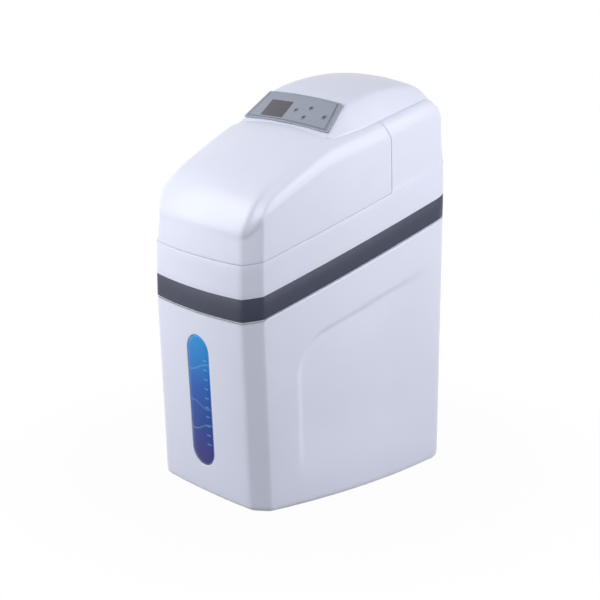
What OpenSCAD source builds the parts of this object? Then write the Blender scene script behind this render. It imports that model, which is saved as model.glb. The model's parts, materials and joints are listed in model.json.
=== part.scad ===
// Cabinet water softener: a brine cabinet with a slanted band, a hinged salt lid,
// a rear hood with the control panel, a resin tank with its valve and a brine well.
// Millimetres. The front faces -Y, +Z is up and the floor is z = 0.

/* [Cabinet] */
// Width across the cabinet at the dark band
body_w = 290; // [280:1:310]
// Depth from the front to the rear at the dark band
body_d = 466; // [456:1:490]
// Height of the cabinet rim at the front
rim_front = 341; // [330:1:352]
// Rise of the rim towards the rear, as a gradient
rim_slope = 0.27; // [0.25:0.005:0.29]
// Bow of the front face
front_bow = 7.3; // [4:0.1:10]
// Bow of the front face at the base
base_front_bow = 5; // [3:0.1:8]
// Bow of each side at the rim
side_bow = 5; // [3:0.5:8]
// Bow of each side at the base
base_bow = 16; // [8:0.5:20]
// Set-back of the front at the base
front_lean = 15; // [10:0.5:22]
// Set-back of the rear at the base
rear_lean = 3; // [0:0.5:12]
// Leg of the facet on each front corner
corner_facet = 27; // [22:0.5:32]
// Radius of the rear corners
rear_r = 40; // [30:1:50]
// Wall of the cabinet
wall = 3.6; // [3:0.1:5]
// Rounding of the base edge
base_r = 7; // [4:0.5:14]
// Floor of the cabinet
floor_t = 5; // [4:0.5:8]
// Depth of the dished area on each side
dish_d = 9; // [5:0.5:11]
// Front edge of the dished area
dish_y = -136; // [-150:1:-120]
// Drop of the dished area below the rim
dish_drop = 73; // [60:1:90]

/* [Hood and lid] */
// Height of the dark band
band_h = 39.8; // [34:0.2:44]
// Height of the collar between the band and the lid
collar_h = 57.6; // [50:0.2:64]
// Skin of the hood and the lid
skin = 3; // [2.4:0.1:4]
// Draw-in of the walls from the band to the shoulder
draft = 5; // [3:0.5:7]
// Gap around the lid
lid_gap = 1.4; // [1:0.1:2]
// Set-back of the panel edge from the front
panel_set = 188.7; // [180:0.5:200]
// Height of the panel edge above the rim at the front
panel_up = 297.5; // [290:0.5:306]
// Depth of the panel slope
panel_run = 51.9; // [47:0.5:57]
// Rise of the panel slope
panel_rise = 43.3; // [39:0.5:46]
// Gradient of the lid top
lid_slope = 0.508; // [0.46:0.004:0.54]
// Crown of the lid top along its length
lid_belly = 4; // [2:0.5:6]
// Rounded nose of the lid, height
nose_h = 56; // [48:1:62]
// Rounded nose of the lid, depth
nose_run = 55; // [45:1:62]
// Height of the dome above the rim at the front
dome_up = 364.5; // [358:0.5:374]
// Set-back of the dome crest from the front
dome_set = 373; // [355:1:390]
// Radius of the crown across the top
crown_r = 680; // [600:10:800]
// Distance of the dome edge behind the panel from the side face
dome_half = 45; // [42:0.5:47]
// Flare of the dome edge towards the lower edge of the panel
dome_flare = 14; // [12:0.5:16]
// Dome edge in front of the rear face
dome_tail = 62; // [54:1:70]
// Shoulder width
shoulder_w = 18; // [14:0.5:22]
// Shoulder height
shoulder_h = 34; // [28:0.5:40]
// Height of the shoulder crease above the rim at the front
crease_up = 291.5; // [285:0.5:298]
// Gradient of the shoulder crease
crease_slope = 0.228; // [0.2:0.004:0.25]
// Fall of the crease behind the dome
crease_fall = 19.5; // [10:0.5:24]
// Set-back of the rear lid seam from the front
lid_run = 314; // [306:1:322]
// Forward sweep of the rear lid seam over the shoulder
seam_sweep = 21; // [16:0.5:24]

/* [Sight window] */
// Half width of the window
win_r = 30; // [26:0.5:32]
// Lowest point of the window
win_z0 = 54; // [48:0.2:64]
// Top of the window below the front rim
win_z1 = 46; // [42:0.2:56]

/* [Control panel] */
// Half width of the plate at the lower edge
plate_w0 = 111.7; // [108:0.5:114]
// Half width of the plate at the upper edge
plate_w1 = 95.8; // [92:0.5:98]
// Set-back of the plate from the lower edge of the panel slope
plate_v = 3.9; // [3.4:0.1:6]
// Thickness of the plate
plate_t = 3; // [2.4:0.1:4]
// Display width
lcd_w = 59; // [50:1:64]
// Display height along the slope
lcd_h = 37; // [30:1:40]
// Key radius
key_r = 5; // [4:0.1:5.6]

/* [Resin tank and valve] */
// Radius of the tank
tank_r = 103; // [98:0.5:105]
// Height of the tank
tank_h = 432; // [420:1:440]
// Distance of the tank axis from the rear
tank_in = 128; // [124:1:132]
// Half spacing of the pipes
port_x = 28; // [26:0.5:30]
// Outer radius of the pipe ends
pipe_r = 16.6; // [16:0.1:17]
// Bore radius of the pipes
pipe_bore = 11.5; // [10:0.1:12.5]
// Length of the pipe ends behind the cabinet
pipe_out = 29; // [24:0.5:34]
// Length of each pipe end up to its shoulder
pipe_end = 25; // [20:0.5:27]
// Drain position, sideways
drain_x = 64; // [60:0.5:68]
// Half width of the notch for the pipes in the collar
notch_w = 78.75; // [76:0.25:86]
// Power inlet position, sideways
power_x = -92; // [-96:0.5:-88]
// Gear module
gear_m = 1.25; // [1.2:0.01:1.3]
// Teeth on the drive gear
gear_n = 48; // [44:1:52]
// Teeth on the motor pinion
pinion_n = 12; // [11:1:14]

/* [Brine side] */
// Distance of the brine well axis from the left side
well_x = 53; // [50:0.5:58]
// Distance of the brine well axis in front of the tank
well_y = 50; // [46:1:60]
// Brine well outer radius
well_r = 35; // [33:0.5:36]
// Brine well top
well_top = 425; // [415:1:430]
// Float travel
float_travel = 30; // [20:1:32]
// Top of the salt grid
grid_z = 63; // [55:1:70]
// Height of the overflow
overflow_z = 400; // [380:1:410]
// Overflow position, sideways
overflow_x = 66; // [60:1:72]

/* [Hidden] */
$fn = 48;
hw = body_w/2;
yf = -body_d/2;
yr = body_d/2;
// Points along half of each ring: front, facet, side, rear corner, rear
nf = 5;
nc = 4;
ns = 17;
nr = 4;
nb = 4;
half_n = nf + nc + ns + nr + nb;
ring_n = 2*half_n;
// Share of the side run from the facet to the rear lid seam
side_part = [0, .1, .19, .235, .27, .31, .36, .43, .52, .63, .78, 1];
ks = len(side_part) - 1;
seam_y = yf + lid_run;
panel_y = yf + panel_set;
panel_z = rim_front + panel_up;
panel_a = atan2(panel_rise, panel_run);
panel_l = norm([panel_run, panel_rise]);
plate_r = crown_r/cos(panel_a);
dome_z = rim_front + dome_up;
dome_y = yf + dome_set;
dome_h = dome_z - panel_z - panel_rise - 7;
dome_l = dome_y - panel_y - panel_run - 8;
dome_n = min(2, .8*dome_l*panel_rise/panel_run/dome_h);
hinge_y = seam_y - seam_sweep;
hinge_z = edge_z(hinge_y) + 1;
hinge_part = .567;
hinge_x = lerp(hw - dome_half, edge_x(hinge_y), hinge_part);
tank_y = yr - tank_in;
tank_z = floor_t + 8;
neck_z = tank_z + tank_h;
tank_dome = tank_r + 15;
tank_knee = tank_dome - sqrt(tank_dome*tank_dome - tank_r*tank_r);
neck_up = 20;
seat_gap = .2;
port_z = (band_z(yr) + seam_z(yr))/2;
bypass_y = yr - 29;
well_cx = well_x - hw;
well_cy = tank_y - tank_r - well_y;
valve_z = well_top - 69;
rod_top = valve_z - 9;
float_top = valve_z - 150;
check_top = floor_t + 41;
notch_part = notch_w/(hw - rear_r);
suction_x = well_cx + well_r - 9;
port_end = tank_y + 64;
cap_z = port_z + 26;
gear_z = cap_z + 15;
gear_c = gear_m*(gear_n + pinion_n)/2;
win_top = rim_front - win_z1;
win_z = (win_z0 + win_top)/2;
win_a = atan2(front_lean, rim_front - base_r);
win_s = (rim_front - win_z)/(rim_front - base_r);
win_y = yf - lerp(front_bow, base_front_bow, win_s) + win_s*front_lean;
win_h = (win_top - win_z0)/2/cos(win_a) - win_r;
rear_in = yr - wall - rear_lean*(rim_z(yr) - overflow_z)/(rim_z(yr) - base_r);
lcd_u = -38.7;
lcd_v = plate_v + 25.8;
key_uv = [[10.7, plate_v + 28.6], [41, plate_v + 38.8], [40, plate_v + 16.9], [82.5, plate_v + 27]];
open_w = key_uv[3][0] + key_r + 4.5;
board_w = open_w - 8;
board_t = 1.6;
board_z = -14 - board_t;
post_uv = [for (x = [-1, 1], v = [plate_v + 10.1, panel_l - 16]) [x*(board_w - 5), v]];

function lerp(a, b, t) = a + (b - a)*t;
function clamp(t) = max(0, min(1, t));
function ease(t) = clamp(t)*clamp(t)*(3 - 2*clamp(t));
function unit(v) = v/max(norm(v), 1e-9);
function soft_min(a, b) = (a + b - sqrt((a - b)*(a - b) + 36))/2;
function rim_z(y) = rim_front + rim_slope*(y - yf);
function band_z(y) = rim_z(y) + band_h;
function seam_z(y) = band_z(y) + collar_h;

// Height of the top along its middle: lid slope, panel slope, then the dome
function lid_line(y) = let (m = (yf + panel_y)/2, h = (panel_y - yf)/2)
    panel_z + lid_slope*(y - panel_y) + lid_belly*(1 - pow((y - m)/h, 2));
function dome(y) = dome_z - (y < dome_y ? dome_h*pow((dome_y - y)/dome_l, dome_n) : .0005*pow(y - dome_y, 2));
function spine(y) = y < panel_y ? lid_line(y)
    : soft_min(panel_z + (y - panel_y)*panel_rise/panel_run, dome(y));
// Height and half width of the crease above each shoulder
function edge_z(y) = min(spine(y) - 14,
    rim_front + crease_up + crease_slope*y - crease_fall*pow(tail_part(y), 2));
function tail_part(y) = clamp((y - yr + dome_tail)/(dome_tail - draft - shoulder_w));
function side_y0() = yf + corner_facet;
function side_y1() = yr - rear_r;
function side_x(y) = let (u = (2*y - side_y0() - side_y1())/(side_y1() - side_y0()))
    hw - draft + side_bow*max(0, 1 - u*u);
function edge_x(y) = side_x(y) - shoulder_w;
// Top surface inside the crease: a crown across, and a sloping band from the dome edge down to the crease
// along the sides and the rear
function soft_ramp(t) = (t + sqrt(t*t + .016))/2;
function dome_x(y) = hw - dome_half + dome_flare*(1 - clamp((y - panel_y)/panel_run));
function band_part(x, y) = let (xd = dome_x(y), yd = yr - dome_tail, yb = yr - draft - shoulder_w,
    p = (abs(x) - xd)/(edge_x(y) - xd), q = (y - yd)/(yb - yd)) p > 0 && q > 0 ? norm([p, q]) : max(p, q);
function crown(x, y) = let (b = edge_z(y), xb = edge_x(y), c = max(0, xb*xb - x*x)/2/crown_r,
    rest = max(spine(y) - b - xb*xb/2/crown_r, 0), k = soft_ramp(-3))
    b + c + rest*(1 - clamp((soft_ramp(band_part(x, y)) - k)/(soft_ramp(1) - k)));
function round_drop(h, t) = t >= 1 ? 0 : h*(1 - sqrt(max(0, 1 - (1 - t)*(1 - t))));

// Plan ring from the front middle by the right side to the rear middle, then mirrored
function run_y(i, a, b, k, g) = i <= ks ? lerp(a, k - g, side_part[i])
    : lerp(k, b, (i - ks - 1)/(ns - ks - 1));
// Corner curve: it breaks from the front, runs nearly straight and turns softly into the side
function corner_in(u) = let (v = 1 - u) v*v*v + 1.35*u*v*v + .18*u*u*v;
function corner_up(u) = let (v = 1 - u) 1.5*u*v*v + 2.34*u*u*v + u*u*u;
function half_ring(w, y0, y1, bf, bs, c, r, k, g) = concat(
    [for (i = [0:nf]) let (u = i/nf) [u*(w - c), y0 - bf*(1 - u*u)]],
    [for (i = [1:nc]) [w - c*corner_in(i/nc), y0 + c*corner_up(i/nc)]],
    [for (i = [1:ns]) let (y = run_y(i, y0 + c, y1 - r, k, g),
        u = (2*y - y0 - c - y1 + r)/(y1 - r - y0 - c)) [w + bs*(1 - u*u), y]],
    [for (i = [1:nr]) let (a = 90*i/nr) [w - r + r*cos(a), y1 - r + r*sin(a)]],
    [for (i = [0:nb - 1]) [(1 - i/(nb - 1))*notch_part*(w - r), y1]]);
function whole(h) = concat(h, [for (i = [half_n - 1:-1:1]) [-h[i][0], h[i][1]]]);
function col(j) = j <= half_n ? j : ring_n - j;

// Rings of the hood and lid, from the band up: wall, shoulder and nose, then the crown
nq = 7;
cap_front = [.5*panel_run, panel_run, panel_run + 9, 75, 94, 105];
cap_side = [9, 19, 26, 34, 66, 108];
cap_rear = [10, 20, 30, 40, 50, 64];
row_lid = 2;
row_edge = 3 + nq;
row_last = row_edge + 1 + len(cap_front);
function plan_at(i) = i < 3
    ? let (d = i*draft/6) half_ring(hw - d, yf + d, yr - d, front_bow, side_bow,
        corner_facet, rear_r, seam_y, lid_gap)
    : i <= row_edge + 1
    ? let (q = min(1, (i - 3)/nq), g = i == row_edge ? lid_gap : 0,
        f = panel_set*pow(q, 2.4) + draft*(1 - q) - g, e = shoulder_w*(1 - cos(90*q)) + draft - 1.5*g)
        half_ring(hw - e, yf + f, yr - e, front_bow*(1 - q), side_bow, lerp(corner_facet, 10, q),
        lerp(rear_r, 25, q), seam_y - seam_sweep*q, lid_gap)
    : let (n = i - row_edge - 2, p = (n + 1)/len(cap_front))
        half_ring(hw - draft - shoulder_w - cap_side[n], panel_y + cap_front[n],
        yr - draft - shoulder_w - cap_rear[n], 0, side_bow*(1 - p), lerp(10, 4, p),
        lerp(25, 6, p), hinge_y + 30*p, lid_gap);
function front_drop(i) = let (q = min(1, (i - 3)/nq)) round_drop(nose_h, panel_set*pow(q, 2.4)/nose_run);
function side_drop(i) = let (q = min(1, (i - 3)/nq)) round_drop(shoulder_h, 1 - cos(90*q));
function top_row(i) = let (pl = whole(plan_at(i)))
    [for (j = [0:ring_n - 1]) let (x = pl[j][0], y = pl[j][1], k = col(j))
        [x, y, i == 0 ? band_z(y) + seat_gap : i == 1 ? seam_z(y) : i == 2 ? seam_z(y) + lid_gap
        : crown(x, y) - lerp(front_drop(i), side_drop(i), clamp((k - nf)/nc))]];
top_outer = [for (i = [0:row_last]) top_row(i)];
function normal_at(i, j) = let (a = (j + 1)%ring_n, b = (j + ring_n - 1)%ring_n,
    p = min(row_last, i + 1), m = max(0, i - 1))
    unit(cross(top_outer[i][a] - top_outer[i][b], top_outer[p][j] - top_outer[m][j]));
top_inner = [for (i = [0:row_last]) [for (j = [0:ring_n - 1]) let (p = top_outer[i][j] - skin*normal_at(i, j))
    i > 0 ? p : [p[0], p[1], band_z(p[1]) + seat_gap]]];

// Faces of a skin over the cells that has(row, column) names, closed along every open edge
function quad(a, b, c, d) = [[a, b, c], [a, c, d]];
function skin_faces(rows, has) = let (o = (rows + 1)*ring_n)
    [for (i = [0:rows - 1], j = [0:ring_n - 1]) if (has(i, j))
        let (k = (j + 1)%ring_n, m = (j + ring_n - 1)%ring_n,
            a = i*ring_n + j, b = a + ring_n, d = i*ring_n + k, c = d + ring_n)
        each concat(quad(a, b, c, d), quad(d + o, c + o, b + o, a + o),
            has(i + 1, j) ? [] : quad(c, b, b + o, c + o),
            has(i - 1, j) ? [] : quad(a, d, d + o, a + o),
            has(i, k) ? [] : quad(d, c, c + o, d + o),
            has(i, m) ? [] : quad(b, a, a + o, b + o))];
// Strips that close a ring from side to side, seen from above
function ring_cap(s) = concat([[s + ring_n - 1, s + 1, s]],
    [for (j = [1:half_n - 2]) each quad(s + ring_n - j, s + ring_n - j - 1, s + j + 1, s + j)],
    [[s + half_n + 1, s + half_n, s + half_n - 1]]);
// Fan that closes a flat ring from its middle point, seen from below
function fan(s, m) = [for (j = [0:ring_n - 1]) [m, s + j, s + (j + 1)%ring_n]];
function flip(faces) = [for (f = faces) [f[2], f[1], f[0]]];
function loft_faces(n) = [for (i = [0:n - 2], j = [0:ring_n - 1])
    let (k = (j + 1)%ring_n, a = i*ring_n, b = a + ring_n) each quad(a + j, b + j, b + k, a + k)];

// Rings of the cabinet, from the base edge up to the rim and down inside
wall_part = [0, .03, .08, .12, .15, .18, .21, .25, .3, .37, .46, .58, .72, .86, 1];
function dish(y, z) = let (p = (y - dish_y)/60, q = (rim_z(y) - dish_drop - z)/60,
    d = p < 1 && q < 1 ? 60*(1 - norm([1 - p, 1 - q])) : 60*min(p, q))
    dish_d*ease(d/11)*ease((z - 40)/110)*ease((yr - 36 - y)/130);
function wall_row(s, t, c, lift) = let (e = t + c,
    h = half_ring(hw + 1.5*s - e, yf + front_lean*s + e, yr - rear_lean*s - e,
        lerp(front_bow, base_front_bow, s), lerp(side_bow, base_bow, s), corner_facet - .6*e,
        max(2, rear_r - e), seam_y, 30), w = whole(h))
    [for (j = [0:ring_n - 1]) let (x = w[j][0], y = w[j][1],
        z = s == 1 ? lift : base_r + (1 - s)*(rim_z(y) - base_r), k = col(j),
        d = k > nf + nc && k < half_n - nb - nr ? dish(y, z) : 0)
        [x - sign(x)*d, y, z]];
cabinet_rows = concat(
    [for (a = [0:30:60]) wall_row(1, 0, base_r*(1 - sin(a)), base_r*(1 - cos(a)))],
    [for (i = [len(wall_part) - 1:-1:0]) wall_row(wall_part[i], 0, 0, base_r)],
    [for (s = [0, .12, .18, .25, .37, .6, .86]) wall_row(s, wall, 0, 0)],
    [wall_row(1, wall, base_r*.4, base_r*.6), wall_row(1, wall, base_r*.8, floor_t)]);

// Involute gear outline with backlash, module m and n teeth
function inv_a(rb, r) = let (c = min(1, rb/r), a = acos(c)) tan(a)*180/PI - a;
function flank(m, n, add) = let (rp = m*n/2, rb = rp*cos(20), h = 90/n - .11*180/PI/rp, f = inv_a(rb, rp))
    [for (i = [0:4]) let (r = lerp(max(rb, rp - 1.1*m), rp + add*m, i/4)) [r, h + f - inv_a(rb, r)]];
function gear_line(m, n, add) = [for (t = [0:n - 1]) let (fl = flank(m, n, add), c = 360*t/n,
    ro = m*n/2 - 1.3*m) each concat(
    [let (a = c - fl[0][1]) ro*[cos(a), sin(a)]],
    [for (i = [0:4]) let (a = c - fl[i][1]) fl[i][0]*[cos(a), sin(a)]],
    [for (i = [4:-1:0]) let (a = c + fl[i][1]) fl[i][0]*[cos(a), sin(a)]],
    [let (a = c + fl[0][1]) ro*[cos(a), sin(a)]])];

// Helpers: cylinder along X or Y, capsule outline, panel and window frames
module rod_y(x, y0, y1, z, r) {
    translate([x, y0, z]) rotate([-90, 0, 0]) cylinder(r = r, h = y1 - y0);
}
module rod_x(x0, x1, y, z, r) {
    translate([x0, y, z]) rotate([0, 90, 0]) cylinder(r = r, h = x1 - x0);
}
module rod_z(x, y, z0, z1, r) {
    translate([x, y, z0]) cylinder(r = r, h = z1 - z0);
}
module capsule(r) {
    translate([-r, -win_h]) square([2*r, 2*win_h]);
    translate([0, win_h]) circle(r);
    translate([0, -win_h]) circle(r);
}
module window_frame() {
    translate([0, win_y, win_z]) rotate([90 + win_a, 0, 0]) children();
}
module panel_frame() {
    translate([0, panel_y, panel_z]) rotate([panel_a, 0, 0]) children();
}
// Curved sheet over the panel between two heights above the skin
module panel_sheet(w0, w1) {
    intersection() {
        translate([0, 0, -12]) linear_extrude(height = 20) children();
        translate([0, -2, -plate_r]) rotate([-90, 0, 0]) difference() {
            cylinder(r = plate_r + w1, h = panel_l + 4, $fn = 360);
            translate([0, 0, -1]) cylinder(r = plate_r + w0, h = panel_l + 6, $fn = 360);
        }
    }
}
module plate_shape(d) {
    polygon([[-plate_w0 + 2*d, plate_v + d], [plate_w0 - 2*d, plate_v + d],
        [plate_w1 - 2*d, panel_l - d], [-plate_w1 + 2*d, panel_l - d]]);
}
module lcd_shape(d) {
    translate([lcd_u - lcd_w/2 - d, lcd_v - lcd_h/2 - d]) square([lcd_w + 2*d, lcd_h + 2*d]);
}
module at_key(i) {
    panel_frame() translate([0, key_uv[i][1], -plate_r])
        rotate([0, asin(key_uv[i][0]/plate_r), 0]) translate([0, 0, plate_r]) children();
}
module key_cap(i) {
    at_key(i) {
        translate([0, 0, -1.6]) cylinder(r = key_r, h = plate_t + 2.8);
        translate([0, 0, -1.6]) cylinder(r = key_r + 1.2, h = 1.2);
        translate([0, 0, -5]) cylinder(r = 2, h = 4);
    }
}

// Brine cabinet: one hollow moulding with the window seat and the overflow hole
module brine_cabinet() {
    n = len(cabinet_rows);
    color([.93, .94, .96]) difference() {
        union() {
            polyhedron(points = concat([for (r = cabinet_rows) each r], [[0, 0, 0], [0, 0, floor_t]]),
                faces = concat(loft_faces(n), fan(0, n*ring_n), flip(fan((n - 1)*ring_n, n*ring_n + 1))),
                convexity = 6);
            window_frame() translate([0, 0, -7]) linear_extrude(height = 4.8) capsule(win_r + 14);
        }
        window_frame() translate([0, 0, -12]) linear_extrude(height = 20) capsule(win_r);
        rod_y(overflow_x, yr - 40, yr + 10, overflow_z, 10.2);
    }
}

// Sight window: a capsule lens that stands in the front wall, held by its inner flange
module sight_window() {
    color([.15, .45, .85]) window_frame() {
        translate([0, 0, -8]) linear_extrude(height = 7.4) capsule(win_r - .3);
        translate([0, 0, -11]) linear_extrude(height = 3) capsule(win_r + 7);
    }
}

module window_seal() {
    color([.12, .12, .13]) window_frame() translate([0, 0, -8]) linear_extrude(height = 1) difference() {
        capsule(win_r + 6);
        capsule(win_r + .6);
    }
}

// Trim band: the dark ring, with an inner lip that locates the cabinet and the collar
module trim_band() {
    prof = [[0, .2], [0, band_h], [wall + .1, band_h], [wall + .4, band_h + 9], [wall + 2.4, band_h + 9],
        [wall + 3.4, -9], [wall + 1.4, -9], [wall + .8, .2]];
    rows = [for (p = prof) let (w = whole(half_ring(hw - p[0], yf + p[0], yr - p[0], front_bow, side_bow,
        corner_facet - .6*p[0], rear_r - p[0], seam_y, lid_gap)))
        [for (v = w) [v[0], v[1], rim_z(v[1]) + p[1]]]];
    n = len(prof);
    color([.25, .27, .34]) polyhedron(points = [for (r = rows) each r],
        faces = [for (i = [0:n - 1], j = [0:ring_n - 1]) let (k = (j + 1)%ring_n, a = i*ring_n,
            b = ((i + 1)%n)*ring_n) each quad(a + j, b + j, b + k, a + k)], convexity = 6);
}

// Cells of the lid and of the housing on the one skin
function in_lid(i, j) = i >= row_lid && i < row_edge
    && (j < nf + nc + ks || j >= ring_n - nf - nc - ks);
function behind(j) = j > nf + nc + ks && j < ring_n - nf - nc - ks - 1;
function in_notch(i, j) = i == 0 && j > half_n - nb && j < half_n + nb - 1;
function in_housing(i, j) = i >= 0 && i <= row_last && !in_notch(i, j)
    && (i == 0 || i > row_edge || behind(j));

// Upper housing: collar, rear hood and the dome with the panel slope, one moulding
module upper_housing() {
    o = (row_last + 1)*ring_n;
    s = row_last*ring_n;
    color([.95, .96, .98]) difference() {
        polyhedron(points = concat([for (r = top_outer) each r], [for (r = top_inner) each r]),
            faces = concat(skin_faces(row_last, function (i, j) in_housing(i, j)), ring_cap(s),
                flip(ring_cap(s + o))), convexity = 8);
        panel_frame() translate([-open_w, plate_v + 2.1, board_z - 14])
            cube([2*open_w, panel_l - plate_v - 9.1, 40]);
        rod_y(power_x, yr - 20, yr + 10, port_z, 6.2);
    }
}

// Salt lid: nose, slope and side skirts in one skin
module salt_lid() {
    color([.96, .97, .99]) polyhedron(
        points = concat([for (r = top_outer) each r], [for (r = top_inner) each r]),
        faces = skin_faces(row_last, function (i, j) in_lid(i, j)), convexity = 8);
}

// Arms inside the lid that reach the hinge under the dome
module lid_arms() {
    color([.8, .81, .83]) for (s = [-1, 1]) mirror([s < 0 ? 1 : 0, 0, 0]) difference() {
        union() {
            rod_x(hinge_x - 3, hinge_x + 3, hinge_y, hinge_z, 7);
            rod_x(hinge_x - 3, side_x(hinge_y) - skin - 1.4, hinge_y + 9, hinge_z - 45, 5);
            translate([hinge_x - 3, hinge_y, hinge_z]) rotate([90, 0, 90]) linear_extrude(height = 6)
                polygon([[3.9, .8], [12.9, -44.2], [5.1, -45.8], [-3.9, -.8]]);
        }
        rod_x(hinge_x - 20, hinge_x + 4, hinge_y, hinge_z, 3.05);
    }
}

// Brackets under the dome that hold the hinge pins
module hinge_brackets() {
    color([.8, .81, .83]) for (s = [-1, 1]) mirror([s < 0 ? 1 : 0, 0, 0]) difference() {
        translate([hinge_x - 9, hinge_y - 9, hinge_z - 9])
            cube([5, 18, crown(hinge_x - 4, hinge_y - 9) - skin - 2.4 - hinge_z + 9]);
        rod_x(hinge_x - 20, hinge_x, hinge_y, hinge_z, 3);
    }
}

module hinge_pins() {
    color([.7, .72, .74]) for (s = [-1, 1]) mirror([s < 0 ? 1 : 0, 0, 0]) {
        rod_x(hinge_x - 9, hinge_x + 4, hinge_y, hinge_z, 3);
        rod_x(hinge_x - 12, hinge_x - 9, hinge_y, hinge_z, 5);
    }
}

// Panel fascia: crowned plate with a tray for the overlay, openings and board posts
module panel_fascia() {
    color([.66, .69, .73]) panel_frame() {
        difference() {
            panel_sheet(.6, plate_t + .6) plate_shape(0);
            panel_sheet(plate_t - .3, plate_t + 2) plate_shape(3.2);
            translate([0, 0, -10]) linear_extrude(height = 20) lcd_shape(-2);
            for (i = [0:3]) translate([0, key_uv[i][1], -plate_r])
                rotate([0, asin(key_uv[i][0]/plate_r), 0]) translate([0, 0, plate_r - 6])
                cylinder(r = key_r + .35, h = 20);
        }
        for (p = post_uv) rod_z(p[0], p[1], board_z + board_t, -1.6, 3);
    }
}

module keypad_overlay() {
    color([.62, .65, .7]) panel_frame() difference() {
        panel_sheet(plate_t - .2, plate_t + .5) plate_shape(3.4);
        translate([0, 0, -10]) linear_extrude(height = 20) lcd_shape(.2);
        for (i = [0:3]) translate([0, key_uv[i][1], -plate_r])
            rotate([0, asin(key_uv[i][0]/plate_r), 0]) translate([0, 0, plate_r - 6])
            cylinder(r = key_r + .35, h = 20);
    }
}

module display_lens() {
    color([.36, .35, .4]) panel_frame() panel_sheet(plate_t - .2, plate_t + .5) lcd_shape(0);
}

module display_module() {
    color([.2, .22, .24]) panel_frame() translate([lcd_u - lcd_w/2, lcd_v - lcd_h/2, board_z + board_t])
        cube([lcd_w, lcd_h, 10.8]);
}

module control_board() {
    color([.1, .35, .2]) panel_frame() difference() {
        translate([-board_w, plate_v + 4.1, board_z]) cube([2*board_w, panel_l - plate_v - 13.1, board_t]);
        for (p = post_uv) rod_z(p[0], p[1], board_z - 5, board_z + 5, 1.6);
    }
}

module board_screws() {
    color([.7, .7, .72]) panel_frame() for (p = post_uv) {
        rod_z(p[0], p[1], board_z - 2, board_z, 2.8);
        rod_z(p[0], p[1], board_z, board_z + board_t, 1.5);
    }
}

module key_menu() {
    color([.3, .32, .36]) key_cap(0);
}

module key_up() {
    color([.3, .32, .36]) key_cap(1);
}

module key_back() {
    color([.3, .32, .36]) key_cap(2);
}

module key_next() {
    color([.3, .32, .36]) key_cap(3);
}

// Resin tank: domed shell with a neck, turned about its axis
module tank_solid(t) {
    r = tank_r - t;
    translate([0, tank_y, 0]) rotate_extrude($fn = 96) difference() {
        union() {
            translate([0, tank_z + tank_knee]) square([r, tank_h - neck_up - 2*tank_knee]);
            intersection() {
                translate([0, tank_z + tank_dome]) circle(tank_dome - t, $fn = 128);
                translate([0, tank_z - 1]) square([r, tank_dome]);
            }
            intersection() {
                translate([0, neck_z - neck_up - tank_dome]) circle(tank_dome - t, $fn = 128);
                translate([0, neck_z - neck_up - tank_dome]) square([r, tank_dome + 1]);
            }
        }
        translate([-2*tank_r, 0]) square([2*tank_r, 2*neck_z]);
    }
}

module resin_tank() {
    color([.3, .45, .6]) difference() {
        union() {
            tank_solid(0);
            rod_z(0, tank_y, neck_z - 30, neck_z, 33);
        }
        tank_solid(4);
        rod_z(0, tank_y, neck_z - 40, neck_z + 1, 26);
    }
}

module tank_boot() {
    color([.12, .12, .13]) difference() {
        rod_z(0, tank_y, floor_t, floor_t + 62, tank_r + 3);
        rod_z(0, tank_y, tank_z + 66, floor_t + 80, tank_r);
        tank_solid(-.2);
        rod_z(0, tank_y, floor_t - 1, tank_z + 4, 40);
    }
}

module resin_bed() {
    color([.75, .5, .2]) difference() {
        intersection() {
            tank_solid(4.3);
            rod_z(0, tank_y, tank_z, tank_z + 280, tank_r);
        }
        rod_z(0, tank_y, tank_z - 10, tank_z + 300, 13.8);
        rod_z(0, tank_y, tank_z - 10, tank_z + 70, 25.4);
    }
}

module riser_tube() {
    color([.9, .9, .92]) difference() {
        rod_z(0, tank_y, tank_z + 60, neck_z + 30, 13.4);
        rod_z(0, tank_y, tank_z + 59, neck_z + 31, 11.6);
    }
}

// Slotted basket at the foot of the riser
module lower_strainer() {
    color([.85, .86, .88]) difference() {
        union() {
            rod_z(0, tank_y, tank_z + 8, tank_z + 60, 25);
            rod_z(0, tank_y, tank_z + 60, tank_z + 66, 17);
        }
        rod_z(0, tank_y, tank_z + 11, tank_z + 57, 22);
        rod_z(0, tank_y, tank_z + 56, tank_z + 67, 13.5);
        for (a = [0:30:150]) translate([0, tank_y, tank_z + 16]) rotate([0, 0, a])
            translate([-30, -1, 0]) cube([60, 2, 34]);
    }
}

module neck_seal() {
    color([.1, .1, .1]) translate([0, tank_y, neck_z + 2.2]) rotate_extrude() translate([29.5, 0]) circle(2);
}

// Valve body on the tank neck: socket for the riser, port chamber and two pipe ports
module valve_body() {
    z0 = neck_z + .2;
    color([.2, .21, .23]) difference() {
        union() {
            rod_z(0, tank_y, z0, z0 + 24, 46);
            rod_z(0, tank_y, z0 + 24, cap_z - 12, 40);
            rod_z(0, tank_y, cap_z - 12, cap_z, 46);
            for (s = [-1, 1]) rod_y(s*port_x, tank_y, port_end, port_z, 18);
            rod_x(0, 46, tank_y - 14, port_z, 10);
            rod_x(-48, 0, tank_y - 14, port_z - 20, 9);
            rod_y(0, tank_y - 50, tank_y, port_z - 6, 15);
        }
        rod_z(0, tank_y, z0 - 1, z0 + 4.2, 31.8);
        rod_z(0, tank_y, z0 - 1, z0 + 36, 13.6);
        rod_z(0, tank_y, cap_z - 16, cap_z + 1, 26);
        for (s = [-1, 1]) rod_y(s*port_x, tank_y + 20, port_end + 1, port_z, 12);
        rod_x(30, 50, tank_y - 14, port_z, 5);
        rod_x(-50, -30, tank_y - 14, port_z - 20, 4);
        rod_z(0, tank_y, z0 + 30, cap_z - 15, 8);
    }
}

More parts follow.
